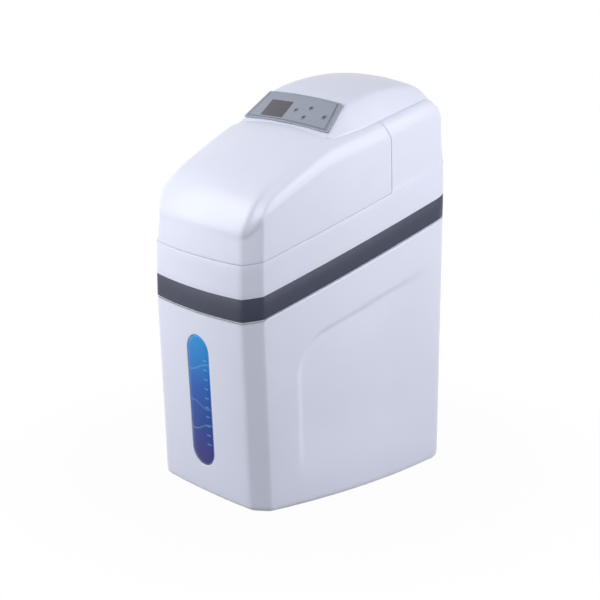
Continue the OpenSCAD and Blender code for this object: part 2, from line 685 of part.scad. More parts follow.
// Cap over the port chamber, with the bearing of the valve stem
module valve_cap() {
    color([.2, .21, .23]) difference() {
        union() {
            rod_z(0, tank_y, cap_z + .1, cap_z + 14, 46);
            translate([0, tank_y - 24, cap_z + .1]) cube([62, 48, 13.9]);
        }
        rod_z(0, tank_y, cap_z - 1, cap_z + 15, 6.05);
        for (a = [0:90:270]) translate([38*cos(a + 45), tank_y + 38*sin(a + 45), cap_z - 1])
            cylinder(r = 2.2, h = 20);
    }
}

module cap_screws() {
    color([.75, .76, .78]) for (a = [0:90:270])
        translate([38*cos(a + 45), tank_y + 38*sin(a + 45), cap_z + 2]) {
            cylinder(r = 2, h = 12);
            translate([0, 0, 12]) cylinder(r = 3.6, h = 2.4);
        }
}

// Valve rotor: port disc and stem
module valve_rotor() {
    color([.85, .85, .8]) {
        rod_z(0, tank_y, cap_z - 12, cap_z - 2, 25.4);
        rod_z(0, tank_y, cap_z - 2, gear_z + 8, 6);
    }
}

module drive_gear() {
    color([.9, .88, .8]) translate([0, tank_y, gear_z]) difference() {
        linear_extrude(height = 7) polygon(gear_line(gear_m, gear_n, .85));
        translate([0, 0, -1]) cylinder(r = 6.05, h = 10);
        for (a = [0:60:300]) rotate([0, 0, a]) translate([17.5, 0, -1]) cylinder(r = 5, h = 10);
    }
}

module motor_pinion() {
    color([.8, .65, .3]) translate([gear_c, tank_y, gear_z]) {
        rotate([0, 0, 180/pinion_n + 180]) linear_extrude(height = 8)
            polygon(gear_line(gear_m, pinion_n, .85));
        cylinder(r = 2, h = 26);
    }
}

// Gear cover: open below, with the motor seat on top
module gear_cover() {
    z0 = cap_z + 14.1;
    color([.25, .26, .28]) difference() {
        union() {
            rod_z(0, tank_y, z0, z0 + 15, 45);
            translate([0, tank_y - 24, z0]) cube([62, 48, 15]);
        }
        rod_z(0, tank_y, z0 - 1, z0 + 12, 32.5);
        rod_z(gear_c, tank_y, z0 - 1, z0 + 12, 10.5);
        rod_z(gear_c, tank_y, z0, z0 + 20, 2.6);
        for (a = [0:90:270]) translate([38*cos(a + 45), tank_y + 38*sin(a + 45), z0 - 1])
            cylinder(r = 4.2, h = 5);
    }
}

module drive_motor() {
    z0 = cap_z + 29.2;
    color([.72, .73, .75]) difference() {
        union() {
            rod_z(gear_c, tank_y, z0, z0 + 3, 22);
            rod_z(gear_c, tank_y, z0 + 3, z0 + 30, 18);
        }
        rod_z(gear_c, tank_y, z0 - 1, z0 + 12, 2.05);
    }
}

module injector_cap() {
    color([.25, .26, .28]) {
        rod_y(0, tank_y - 58, tank_y - 50.1, port_z - 6, 18);
        for (a = [0:120:240]) translate([12*cos(a), tank_y - 60, port_z - 6 + 12*sin(a)])
            rotate([-90, 0, 0]) cylinder(r = 2.6, h = 2.5);
    }
}

module brine_nut() {
    color([.9, .9, .9]) difference() {
        rod_x(-63, -48.1, tank_y - 14, port_z - 20, 9.5);
        rod_x(-66, -47, tank_y - 14, port_z - 20, 4.9);
    }
}

// Drain: elbow beside the pipes, ending in a hose barb behind the cabinet
module drain_elbow() {
    color([.9, .9, .9]) difference() {
        union() {
            rod_x(46.1, drain_x, tank_y - 14, port_z, 8);
            translate([drain_x, tank_y - 14, port_z]) sphere(8);
            rod_y(drain_x, tank_y - 14, yr + 4, port_z, 8);
            rod_y(drain_x, yr + 4, yr + 24, port_z, 6.5);
        }
        rod_x(40, drain_x, tank_y - 14, port_z, 4.5);
        rod_y(drain_x, tank_y - 14, yr + 30, port_z, 4.5);
    }
}

module union_nuts() {
    color([.15, .15, .16]) for (s = [-1, 1]) difference() {
        rod_y(s*port_x, port_end - 9, port_end + 9, port_z, 23);
        rod_y(s*port_x, port_end - 10, port_end + .1, port_z, 18.1);
        rod_y(s*port_x, port_end, port_end + 10, port_z, pipe_r + 1.5);
    }
}

// Bypass: two pipes with a plug barrel each and a cross pipe between them
module bypass_body() {
    color([.2, .21, .23]) difference() {
        union() {
            for (s = [-1, 1]) {
                rod_y(s*port_x, port_end + .2, yr + pipe_out - pipe_end, port_z, pipe_r + 1.4);
                rod_y(s*port_x, yr + pipe_out - pipe_end, yr + pipe_out, port_z, pipe_r);
                rod_z(s*port_x, bypass_y, port_z - 22, port_z + 26, 20);
            }
            rod_x(-port_x, port_x, bypass_y, port_z, 12);
        }
        for (s = [-1, 1]) {
            rod_y(s*port_x, port_end - 1, yr + pipe_out + 1, port_z, pipe_bore);
            rod_z(s*port_x, bypass_y, port_z + pipe_bore + 2, port_z + 30, 6.05);
        }
    }
}

module bypass_lever(s) {
    difference() {
        union() {
            rod_z(s*port_x, bypass_y, port_z + 26.5, port_z + 37, 13);
            rod_z(s*port_x, bypass_y, port_z + pipe_bore + 3, port_z + 27, 6);
            translate([s*port_x - 6, bypass_y - 40, port_z + 28.5]) cube([12, 40, 8]);
        }
        rod_z(s*port_x, bypass_y, port_z + 34, port_z + 40, 5);
    }
}

module inlet_lever() {
    color([.75, .12, .12]) bypass_lever(-1);
}

module outlet_lever() {
    color([.75, .12, .12]) bypass_lever(1);
}

// Brine well: standing tube with slots at its foot and a hole for the float valve
module brine_well() {
    color([.92, .93, .95]) difference() {
        rod_z(well_cx, well_cy, floor_t, well_top, well_r);
        rod_z(well_cx, well_cy, floor_t - 1, well_top + 1, well_r - 2.5);
        for (a = [0:60:120]) translate([well_cx, well_cy, floor_t + 8]) rotate([0, 0, a + 30])
            translate([-50, -2, 0]) cube([100, 4, 30]);
        rod_y(well_cx, well_cy, well_cy + well_r + 15, valve_z, 6.2);
    }
}

module well_cap() {
    color([.9, .91, .93]) {
        rod_z(well_cx, well_cy, well_top + .3, well_top + 3.3, well_r + 3);
        difference() {
            rod_z(well_cx, well_cy, well_top - 9, well_top + .4, well_r - 2.9);
            rod_z(well_cx, well_cy, well_top - 10, well_top, well_r - 5.4);
        }
        rod_z(well_cx, well_cy, well_top + 3, well_top + 12, 8);
    }
}

// Float valve: hangs from the hole in the well wall
module float_valve() {
    color([.88, .89, .92]) difference() {
        union() {
            rod_z(well_cx, well_cy, valve_z - 26, rod_top + float_travel + 5, 12);
            rod_y(well_cx, well_cy, well_cy + well_r + 10, valve_z, 6);
            rod_x(well_cx, suction_x, well_cy, valve_z - 11, 5);
            rod_z(suction_x, well_cy, valve_z - 20, valve_z - 5, 5.8);
        }
        rod_z(well_cx, well_cy, valve_z - 27, rod_top + float_travel + 2, 2.55);
        rod_z(suction_x, well_cy, valve_z - 21, valve_z - 10, 4.05);
    }
}

module float_rod() {
    color([.7, .72, .74]) {
        rod_z(well_cx, well_cy, floor_t + .4, rod_top, 2.5);
        rod_z(well_cx, well_cy, float_top, float_top + 3, 5);
    }
}

module float_ball() {
    color([.95, .95, .95]) difference() {
        rod_z(well_cx, well_cy, float_top - 44, float_top, 19);
        rod_z(well_cx, well_cy, float_top - 46, float_top + 2, 2.6);
    }
}

module suction_pipe() {
    color([.9, .9, .9]) difference() {
        rod_z(suction_x, well_cy, check_top, valve_z - 10, 4);
        rod_z(suction_x, well_cy, check_top - 1, valve_z - 9, 2.6);
    }
}

module air_check() {
    color([.85, .86, .9]) difference() {
        rod_z(suction_x - 5, well_cy, floor_t, check_top, 10);
        rod_z(suction_x - 5, well_cy, floor_t - 1, check_top - 4, 8);
        rod_z(suction_x, well_cy, check_top - 6, check_top + 1, 2.6);
        for (a = [0:60:120]) translate([suction_x - 5, well_cy, floor_t + 5]) rotate([0, 0, a])
            translate([-15, -1, 0]) cube([30, 2, check_top - floor_t - 15]);
    }
}

// Brine line: a bent tube from the float valve to the valve body
line_a = [well_cx, well_cy + well_r + 10.2, valve_z];
line_d = [-48.2, tank_y - 14, port_z - 20];
function line_curve(t) = let (a = line_a + [0, 8, 0], d = line_d - [18, 0, 0], b = a + [0, 70, 10],
    c = d - [70, 0, 0], u = 1 - t) u*u*u*a + 3*u*u*t*b + 3*u*t*t*c + t*t*t*d;
line_n = 26;
line_p = concat([line_a], [for (i = [1:line_n - 1]) line_curve((i - 1)/(line_n - 2))], [line_d]);
function line_ring(i, r) = let (d = unit(line_p[min(line_n, i + 1)] - line_p[max(0, i - 1)]),
    e = i == 1 ? [0, 1, 0] : i == line_n - 1 ? [1, 0, 0] : d, a = unit(cross(e, [.3, .2, 1])), b = cross(e, a))
    [for (k = [0:11]) line_p[i] + r*(cos(30*k)*a + sin(30*k)*b)];

module brine_line() {
    n = line_n;
    color([.85, .87, .9]) polyhedron(
        points = concat([for (i = [0:n]) each line_ring(i, 4.7)], [line_p[0], line_p[n]]),
        faces = concat([for (i = [0:n - 1], k = [0:11]) let (a = 12*i, b = a + 12, m = (k + 1)%12)
            each quad(a + k, a + m, b + m, b + k)],
            [for (k = [0:11]) [12*n + 12, (k + 1)%12, k]],
            [for (k = [0:11]) [12*n + 13, 12*n + k, 12*n + (k + 1)%12]]), convexity = 4);
}

// Salt grid: drilled plate on six legs in front of the tank
module salt_grid() {
    w = hw - 14;
    y0 = yf + 40;
    y1 = tank_y - tank_r - 6;
    color([.9, .91, .93]) {
        translate([0, 0, grid_z - 5]) linear_extrude(height = 5) difference() {
            polygon([[-w + 20, y0], [w - 20, y0], [w, y0 + 20], [w, y1], [-w, y1], [-w, y0 + 20]]);
            translate([well_cx, well_cy]) circle(well_r + .5);
            for (x = [-2:4], y = [0:4]) translate([x*24 + (y%2)*8, y0 + 24 + y*30]) circle(5);
            for (x = [-4:-3], y = [0:2]) translate([x*24 + (y%2)*8, y0 + 24 + y*30]) circle(5);
        }
        for (x = [-1:1]) {
            rod_z(x*(w - 30), y0 + 9, floor_t, grid_z - 4.9, 6);
            rod_z(x*(w - 11), y1 - 8, floor_t, grid_z - 4.9, 6);
        }
    }
}

module overflow_elbow() {
    color([.9, .9, .92]) difference() {
        union() {
            rod_y(overflow_x, rear_in - 4.4, rear_in - .6, overflow_z, 16);
            rod_y(overflow_x, rear_in - 1, yr + 14, overflow_z, 10);
            rod_y(overflow_x, yr + 14, yr + 34, overflow_z, 8);
        }
        rod_y(overflow_x, rear_in - 10, yr + 40, overflow_z, 5.5);
    }
}

module overflow_nut() {
    color([.9, .9, .92]) difference() {
        rod_y(overflow_x, rear_in + wall + .5, yr + 10, overflow_z, 15);
        rod_y(overflow_x, rear_in, yr + 12, overflow_z, 10.1);
    }
}

// Low-voltage power inlet in the collar at the rear
module power_inlet() {
    color([.1, .1, .11]) difference() {
        union() {
            rod_y(power_x, yr - 18, yr + .2, port_z, 6);
            rod_y(power_x, yr + .2, yr + 2.4, port_z, 8);
        }
        rod_y(power_x, yr - 12, yr + 4, port_z, 2.8);
    }
}

brine_cabinet();
sight_window();
window_seal();
trim_band();
upper_housing();
salt_lid();
lid_arms();
hinge_brackets();
hinge_pins();
panel_fascia();
keypad_overlay();
display_lens();
display_module();
control_board();
board_screws();
key_menu();
key_up();
key_back();
key_next();
resin_tank();
tank_boot();
resin_bed();
riser_tube();
lower_strainer();
neck_seal();
valve_body();
valve_cap();
cap_screws();
valve_rotor();
drive_gear();
motor_pinion();
gear_cover();
drive_motor();
injector_cap();
brine_nut();
drain_elbow();
union_nuts();
bypass_body();
inlet_lever();
outlet_lever();
brine_well();
well_cap();
float_valve();
float_rod();
float_ball();
suction_pipe();
air_check();
brine_line();
salt_grid();
overflow_elbow();
overflow_nut();
power_inlet();
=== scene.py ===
# Cabinet water softener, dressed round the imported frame.
# Sizes below are millimetres, meshes are metres. The front faces -Y and the floor is z = 0.
import json
import math
import bpy
import numpy as np
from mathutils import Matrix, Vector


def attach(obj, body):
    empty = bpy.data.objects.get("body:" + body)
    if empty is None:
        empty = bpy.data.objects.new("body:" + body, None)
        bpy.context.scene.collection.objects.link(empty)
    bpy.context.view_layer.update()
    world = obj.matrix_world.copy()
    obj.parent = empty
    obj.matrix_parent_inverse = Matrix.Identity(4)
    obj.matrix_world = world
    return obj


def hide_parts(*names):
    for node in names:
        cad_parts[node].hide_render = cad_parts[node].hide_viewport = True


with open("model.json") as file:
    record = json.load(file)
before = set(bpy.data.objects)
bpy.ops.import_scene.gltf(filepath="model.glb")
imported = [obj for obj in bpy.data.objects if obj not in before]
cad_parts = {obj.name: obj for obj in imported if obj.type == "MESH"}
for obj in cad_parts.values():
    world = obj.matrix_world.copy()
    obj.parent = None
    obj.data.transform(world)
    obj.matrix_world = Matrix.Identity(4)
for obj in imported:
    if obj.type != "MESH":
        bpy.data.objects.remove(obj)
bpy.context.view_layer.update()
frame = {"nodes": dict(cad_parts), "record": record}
mm = 0.001


# Shader wires

class Wire:
    # one socket of a material; sums of wires and numbers add Math nodes
    def __init__(self, tree, socket):
        self.tree = tree
        self.socket = socket

    def node(self, kind, settings=None, values=None, out=0):
        # any node: its settings first, then the values or links of its sockets
        made = self.tree.nodes.new("ShaderNode" + kind)
        for key, value in (settings or {}).items():
            if key == "stops":
                while len(made.color_ramp.elements) < len(value):
                    made.color_ramp.elements.new(1)
                for stop, (place, colour) in zip(made.color_ramp.elements, value):
                    stop.position = place
                    stop.color = colour
            else:
                setattr(made, key, value)
        for key, value in (values or {}).items():
            if isinstance(value, Wire):
                self.tree.links.new(value.socket, made.inputs[key])
            else:
                made.inputs[key].default_value = value
        return Wire(self.tree, made.outputs[out])

    def maths(self, operation, *others):
        return self.node("Math", {"operation": operation}, dict(enumerate((self,) + others)))

    def __add__(self, other):
        return self.maths("ADD", other)

    def __mul__(self, other):
        return self.maths("MULTIPLY", other)

    def __sub__(self, other):
        return self.maths("SUBTRACT", other)

    def __truediv__(self, other):
        return self.maths("DIVIDE", other)

    def __rsub__(self, other):
        return self.node("Math", {"operation": "SUBTRACT"}, {0: other, 1: self})

    def __rtruediv__(self, other):
        return self.node("Math", {"operation": "DIVIDE"}, {0: other, 1: self})

    __radd__ = __add__
    __rmul__ = __mul__

    def ramp(self, low, high):
        # 0 below low, 1 above high, eased between
        return self.node("MapRange", {"interpolation_type": "SMOOTHSTEP"}, {0: self, 1: low, 2: high})

    def blend(self, first, second):
        # colour first where this is 0, second where it is 1
        return self.node("Mix", {"data_type": "RGBA"}, {0: self, 6: first, 7: second}, 2)

    def noise(self, scale, detail=2, rough=0.5):
        values = {"Vector": self, "Scale": scale, "Detail": detail, "Roughness": rough}
        return self.node("TexNoise", None, values)

    def part(self, axis):
        return self.node("SeparateXYZ", None, {0: self}, axis)

    def bump(self, distance, strength=1.0):
        return self.node("Bump", None, {"Height": self, "Distance": distance, "Strength": strength})


def tint(red, green, blue):
    # screen values 0 to 255 as a linear colour
    raw = np.array([red, green, blue]) / 255
    flat = np.where(raw <= 0.04045, raw / 12.92, ((raw + 0.055) / 1.055) ** 2.4)
    return (*flat.tolist(), 1.0)


def shade(colour, share):
    # the same colour, share times as bright
    return (colour[0] * share, colour[1] * share, colour[2] * share, 1.0)


def makeMaterial(name, fixed, linked, source="Object"):
    # a Principled material: fixed values on its sockets, linked(where) gives what varies
    material = bpy.data.materials.new(name)
    material.use_nodes = True
    tree = material.node_tree
    shader = tree.nodes["Principled BSDF"]
    place = tree.nodes.new("ShaderNodeTexCoord")
    where = Wire(tree, place.outputs[source])
    for key, value in fixed.items():
        shader.inputs[key].default_value = value
    for key, wire in linked(where).items():
        tree.links.new(wire.socket, shader.inputs[key])
    return material


def mouldedPlastic(name, colour, rough, grain=0.00002, grainScale=1500, spread=0.03, coat=0.0, patches=0.12):
    # moulded plastic: slow tone drift, patches of roughness and a fine grain
    def linked(where):
        drift = where.noise(9, 3).ramp(0.3, 0.7)
        gloss = where.noise(60, 3)
        fine = where.noise(grainScale, 2)
        return {"Base Color": drift.blend(shade(colour, 1 - spread), shade(colour, 1 + spread)),
                "Roughness": gloss * patches + (rough - patches / 2),
                "Normal": fine.bump(grain)}
    return makeMaterial(name, {"Coat Weight": coat, "Coat Roughness": 0.08, "IOR": 1.49}, linked)


def metal(name, colour, rough, stretch=(1, 1, 1), scale=700):
    # turned or rolled metal: fine streaks in tone, roughness and height
    def linked(where):
        turned = where.node("Mapping", None, {"Vector": where, "Scale": stretch})
        streak = turned.noise(scale, 3)
        return {"Base Color": streak.blend(shade(colour, 0.86), shade(colour, 1.08)),
                "Roughness": streak * 0.2 + (rough - 0.1),
                "Normal": streak.bump(0.00001)}
    return makeMaterial(name, {"Metallic": 1.0}, linked)


# Mesh helpers

def gridQuads(rows, cols, wrap=False, start=0):
    # cells of a rows by cols grid of points as quads, shape (rows - 1, cells, 4);
    # wrap joins the last column to the first
    i, j = np.meshgrid(np.arange(rows - 1), np.arange(cols if wrap else cols - 1), indexing="ij")
    k = (j + 1) % cols
    return start + np.stack([i * cols + j, i * cols + k, (i + 1) * cols + k, (i + 1) * cols + j], -1)


def poleFan(ring, pole, flip=False):
    # triangles from a ring of point numbers to one pole
    after = np.roll(ring, -1)
    sides = (after, ring) if flip else (ring, after)
    return np.stack([*sides, np.full(len(ring), pole)], -1)


def makePiece(name, points, faces, body, material, stands=(), uv=None):
    # a mesh piece at the origin from points in millimetres; faces is a list of index arrays
    rows = [f for part in faces for f in np.asarray(part).reshape(-1, np.shape(part)[-1]).tolist()]
    flat = np.asarray(points, float).reshape(-1, 3)
    used = np.unique(np.concatenate([np.asarray(part).ravel() for part in faces]))
    place = np.full(len(flat), -1)
    place[used] = np.arange(len(used))
    mesh = bpy.data.meshes.new(name)
    mesh.from_pydata((flat[used] * mm).tolist(), [], [[int(place[v]) for v in f] for f in rows])
    mesh.polygons.foreach_set("use_smooth", np.ones(len(mesh.polygons), bool))
    if uv is not None:
        layer = mesh.uv_layers.new(name="flat")
        corner = np.zeros(len(mesh.loops), np.int32)
        mesh.loops.foreach_get("vertex_index", corner)
        layer.data.foreach_set("uv", np.asarray(uv, float).reshape(-1, 2)[used][corner].ravel())
    mesh.update()
    piece = bpy.data.objects.new(name, mesh)
    bpy.context.scene.collection.objects.link(piece)
    piece.data.materials.append(material)
    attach(piece, body)
    if stands:
        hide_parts(*stands)
    return piece


def thicken(piece, wall, edge, angle=50):
    # wall inward from the outer face, then rounded edges
    solid = piece.modifiers.new("wall", "SOLIDIFY")
    solid.thickness = wall * mm
    solid.offset = -1
    bevel = piece.modifiers.new("edges", "BEVEL")
    bevel.width = edge * mm
    bevel.segments = 3
    bevel.limit_method = "ANGLE"
    bevel.angle_limit = math.radians(angle)


def easeIn(t):
    t = np.clip(t, 0, 1)
    return t * t * (3 - 2 * t)


def mixed(a, b, t):
    return a + (b - a) * t


# Finishes of the outside

whiteTone = tint(228, 232, 250)
bandTone = tint(44, 49, 71)
panelTone = tint(150, 157, 171)
lensTone = tint(50, 48, 64)
whitePlastic = mouldedPlastic("whitePlastic", whiteTone, 0.30, grain=0.000012, grainScale=1100, spread=0.012,
                              patches=0.03)
bandPlastic = mouldedPlastic("bandPlastic", bandTone, 0.5, grain=0.00003, grainScale=1900, spread=0.05)
panelPlastic = mouldedPlastic("panelPlastic", panelTone, 0.45, grain=0.00003, grainScale=2200, spread=0.04)
keyRubber = mouldedPlastic("keyRubber", tint(88, 92, 106), 0.62, grain=0.00004, grainScale=2600, spread=0.06)
blackPlastic = mouldedPlastic("blackPlastic", tint(52, 53, 57), 0.45, grain=0.00006, grainScale=1300,
                              spread=0.08)
plainWhite = mouldedPlastic("plainWhite", tint(226, 228, 232), 0.42, grain=0.00004, grainScale=1500,
                            spread=0.03)


def filmFinish():
    # satin film on the panel: fine grain, and a darker line painted along the foot and sides of the raised rim
    # as painted shade from the rim
    def linked(where):
        x = where.part(0).maths("ABSOLUTE")
        v = ((where.part(1) - panelY * mm) * math.cos(panelTurn)
             + (where.part(2) - panelZ * mm) * math.sin(panelTurn))
        low, high = (plate["halfLow"] - 6.8) * mm, (plate["halfHigh"] - 6.8) * mm
        reach = v * ((high - low) / (panelLong * mm)) + low
        # painted shade: a darker line along the rim's sides and foot, where the rim shades the film
        shadeAtSide = 1 - (reach - x - 0.0012).maths("ABSOLUTE").ramp(0.0006, 0.0018)
        shadeAtFoot = 1 - (v - (plate["setBack"] + 4.4) * mm).maths("ABSOLUTE").ramp(0.0004, 0.0014)
        line = shadeAtSide.maths("MAXIMUM", shadeAtFoot * 0.8) * 0.75
        drift = where.noise(14, 3).ramp(0.3, 0.7)
        tone = drift.blend(shade(panelTone, 0.99), shade(panelTone, 1.06))
        return {"Base Color": line.blend(tone, shade(panelTone, 0.42)),
                "Roughness": where.noise(300, 2) * 0.14 + 0.40,
                "Normal": where.noise(2600, 2).bump(0.00002)}
    return makeMaterial("panelFilm", {"IOR": 1.5}, linked)


def displayFinish():
    # dark glass of a small display: a raster of dots just below the glass
    def linked(where):
        across = where.part(0)
        up = where.part(2)
        dots = (across * 1100).maths("SINE") * (up * 1600).maths("SINE")
        raster = dots.ramp(0.0, 0.9) * 0.10
        drift = where.noise(25, 2)
        return {"Base Color": (raster + drift * 0.08).blend(lensTone, shade(lensTone, 1.7)),
                "Roughness": drift * 0.08 + 0.18}
    return makeMaterial("displayGlass", {"Coat Weight": 0.4, "Coat Roughness": 0.05, "IOR": 1.5}, linked)


def boardFinish():
    # coated circuit board: thin paths in a lighter green
    def linked(where):
        paths = where.node("TexBrick", {"offset": 0.37},
                           {"Vector": where, "Scale": 60, "Mortar Size": 0.03, "Color1": (0, 0, 0, 1),
                            "Color2": (0, 0, 0, 1), "Mortar": (1, 1, 1, 1)}, 1)
        return {"Base Color": paths.blend(tint(22, 84, 52), tint(58, 128, 82)),
                "Roughness": where.noise(300, 2) * 0.2 + 0.3,
                "Normal": paths.bump(0.0001)}
    return makeMaterial("circuitBoard", {"IOR": 1.5}, linked)


def tankFinish():
    # wound glass fibre: two families of crossing strands about the axis, over a blue grey resin
    def linked(where):
        x, y, z = where.part(0), where.part(1) - 0.105, where.part(2)
        turn = y.maths("ARCTAN2", x)
        left = (turn * 14 + z * 420).maths("SINE")
        right = (turn * 14 - z * 420).maths("SINE")
        strands = left.maths("MAXIMUM", right) + where.noise(500, 3) * 0.5
        return {"Base Color": strands.ramp(-0.2, 1.4).blend(tint(84, 108, 134), tint(128, 150, 170)),
                "Roughness": where.noise(120, 2) * 0.2 + 0.4,
                "Normal": strands.bump(0.0003)}
    return makeMaterial("woundTank", {"IOR": 1.5}, linked)


def resinFinish():
    # a bed of small amber beads, each painted darker from its middle to its edge as painted shade between the
    # beads
    def linked(where):
        beads = where.node("TexVoronoi", None, {"Vector": where, "Scale": 900}, 0)
        # painted shade: each bead lighter in its middle and darker towards its edge
        return {"Base Color": beads.ramp(0.1, 0.7).blend(tint(206, 150, 70), tint(120, 74, 22)),
                "Roughness": beads * 0.3 + 0.25,
                "Normal": (1 - beads).bump(0.0005)}
    return makeMaterial("resinBeads", {"IOR": 1.5}, linked)


def motorFinish():
    # painted metal can with a faint orange peel
    def linked(where):
        peel = where.noise(900, 2)
        return {"Base Color": where.noise(30, 3).blend(tint(150, 152, 158), tint(176, 178, 184)),
                "Roughness": peel * 0.16 + 0.3,
                "Normal": peel.bump(0.00006)}
    return makeMaterial("motorPaint", {"IOR": 1.5}, linked)


# Plan rings shared by the cabinet, band, hood and lid

body = dict(width=290, depth=466, rimFront=341, rimSlope=0.27, frontBow=7.3, sideBow=5, baseBow=16,
            baseFrontBow=5, frontLean=15, rearLean=3, facet=27, rearRound=40, wall=3.6, baseRound=11,
            floorThick=5, dishDepth=9, dishFront=-136, dishDrop=73)
top = dict(bandHeight=39.8, collarHeight=57.6, skin=3, draft=5, lidGap=1.4, lidFoot=0.5, panelSet=188.7,
           panelUp=297.5, panelRun=51.9, panelRise=43.3, lidSlope=0.508, lidBelly=4, noseHeight=56,
           noseRun=55, domeUp=364.5, domeSet=373, crownRound=680, shoulderWide=18, shoulderHigh=34,
           creaseUp=291.5, creaseSlope=0.228, lidRun=314, seamSweep=21, domeHalf=100, domeFlare=14,
           domeTail=62, creaseFall=19.5, creaseUnder=14, lipDeep=7, capFront=112, capSide=119,
           capRear=62, capSeam=30, notchHalf=78.75)
plate = dict(halfLow=111.7, halfHigh=95.8, setBack=3.9)
halfWide = body["width"] / 2
yFront = -body["depth"] / 2
yRear = body["depth"] / 2
seamY = yFront + top["lidRun"]
panelY = yFront + top["panelSet"]
panelZ = body["rimFront"] + top["panelUp"]
panelTurn = math.atan2(top["panelRise"], top["panelRun"])
panelLong = math.hypot(top["panelRun"], top["panelRise"])
plateRound = top["crownRound"] / math.cos(panelTurn)
domeZ = body["rimFront"] + top["domeUp"]
domeY = yFront + top["domeSet"]
domeBend = (domeZ - panelZ - top["panelRise"] - 7) / (domeY - panelY - top["panelRun"] - 8) ** 2

# Points along half a ring, about 1 mm apart: front, corner, side to the seam, side behind it, rear corner
# and rear
ringCount = dict(front=120, corner=40, lidSide=290, hoodSide=112, rearCorner=64, rear=105)
ringStart = dict(zip(ringCount, np.cumsum([0] + list(ringCount.values())).tolist()))
halfCount = sum(ringCount.values())


def column(values):
    return np.atleast_1d(np.asarray(values, float))[:, None]


def halfPlan(w, y0, y1, bowFront, bowSide, c, r, seam, gap):
    # Half a plan ring, one row per argument row: a parabola across the front, a curved corner that leaves the
    # front with a break, runs nearly straight and turns into the side (cubic curve), a parabola along the
    # side with a step of gap at the seam, a quarter circle and a straight rear.
    u = np.arange(ringCount["front"]) / ringCount["front"]
    t = np.arange(ringCount["corner"]) / ringCount["corner"]
    cornerIn = (1 - t) ** 3 + 1.35 * t * (1 - t) ** 2 + 0.18 * t ** 2 * (1 - t)
    cornerUp = 1.5 * t * (1 - t) ** 2 + 2.34 * t ** 2 * (1 - t) + t ** 3
    yA = mixed(y0 + c, seam - gap, np.linspace(0, 1, ringCount["lidSide"]))
    yB = mixed(seam, y1 - r, np.arange(ringCount["hoodSide"]) / ringCount["hoodSide"])
    a = np.pi / 2 * np.arange(ringCount["rearCorner"]) / ringCount["rearCorner"]
    v = np.linspace(0, 1, ringCount["rear"])
    ySide = np.concatenate([yA, yB], 1)
    s = (2 * ySide - y0 - c - y1 + r) / (y1 - r - y0 - c)
    x = np.concatenate([u * (w - c), w - c * cornerIn,
                        w + bowSide * (1 - s * s), w - r + r * np.cos(a), (1 - v) * (w - r)], 1)
    y = np.concatenate([y0 - bowFront * (1 - u * u), y0 + c * cornerUp,
                        ySide, y1 - r + r * np.sin(a), y1 + 0 * v], 1)
    return np.stack([x, y], -1)


def wholePlan(half, soft=2.0):
    # the half mirrored into a closed ring, with its corners softened by a Gaussian along the ring;
    # soft is its spread in points, one number or one for each row
    back = half[:, -2:0:-1] * [-1, 1]
    ring = np.concatenate([half, back], 1)
    n = ring.shape[1]
    wave = np.exp(-2 * (np.pi * column(soft) * np.fft.rfftfreq(n)[None, :]) ** 2)
    return np.fft.irfft(np.fft.rfft(ring, axis=1) * wave[..., None], n, axis=1)


def chooseColumns(steps):
    # ring columns that are kept: a step for each stretch of the half ring, mirrored
    half = [np.arange(ringStart[k], ringStart[k] + n, steps[k]) for k, n in ringCount.items()]
    must = [ringStart["hoodSide"] - 1, ringStart["hoodSide"], halfCount - 1]
    half = np.unique(np.concatenate(half + [np.array(must)]))
    half = half[(np.diff(half, append=halfCount + 9) > 1) | np.isin(half, must + [0])]
    back = 2 * halfCount - 2 - half[1:-1][::-1]
    return np.concatenate([half, back])


ringColumns = chooseColumns(dict(front=8, corner=2, lidSide=6, hoodSide=8, rearCorner=4, rear=8))
halfKept = int(np.searchsorted(ringColumns, halfCount - 1))
seamKept = int(np.searchsorted(ringColumns, ringStart["hoodSide"] - 1))
print("ring columns:", len(ringColumns))


def rimZ(y):
    return body["rimFront"] + body["rimSlope"] * (y - yFront)


def bandZ(y):
    return rimZ(y) + top["bandHeight"]


def lidSeamZ(y):
    return bandZ(y) + top["collarHeight"]


# Top surface of the lid and the hood

def spine(y):
    # height along the middle: lid slope with a belly, panel slope and dome, the last two joined softly
    middle, half = (yFront + panelY) / 2, (panelY - yFront) / 2
    lid = panelZ + top["lidSlope"] * (y - panelY) + top["lidBelly"] * (1 - ((y - middle) / half) ** 2)
    dome = domeZ - np.where(y < domeY, domeBend, 0.0005) * (y - domeY) ** 2
    slope = panelZ + (y - panelY) * top["panelRise"] / top["panelRun"]
    hood = (slope + dome - np.sqrt((slope - dome) ** 2 + 36)) / 2
    return np.where(y < panelY, lid, hood)


def creaseZ(y):
    # the crease falls over the last stretch, by the square of the way along it, and stays below the spine
    run = top["domeTail"] - top["draft"] - top["shoulderWide"]
    tail = np.clip((y - yRear + top["domeTail"]) / run, 0, 1)
    line = body["rimFront"] + top["creaseUp"] + top["creaseSlope"] * y - top["creaseFall"] * tail ** 2
    return np.minimum(line, spine(y) - top["creaseUnder"])


def creaseX(y):
    y0, y1 = yFront + body["facet"], yRear - body["rearRound"]
    u = (2 * y - y0 - y1) / (y1 - y0)
    return halfWide - top["draft"] + body["sideBow"] * np.maximum(0, 1 - u * u) - top["shoulderWide"]


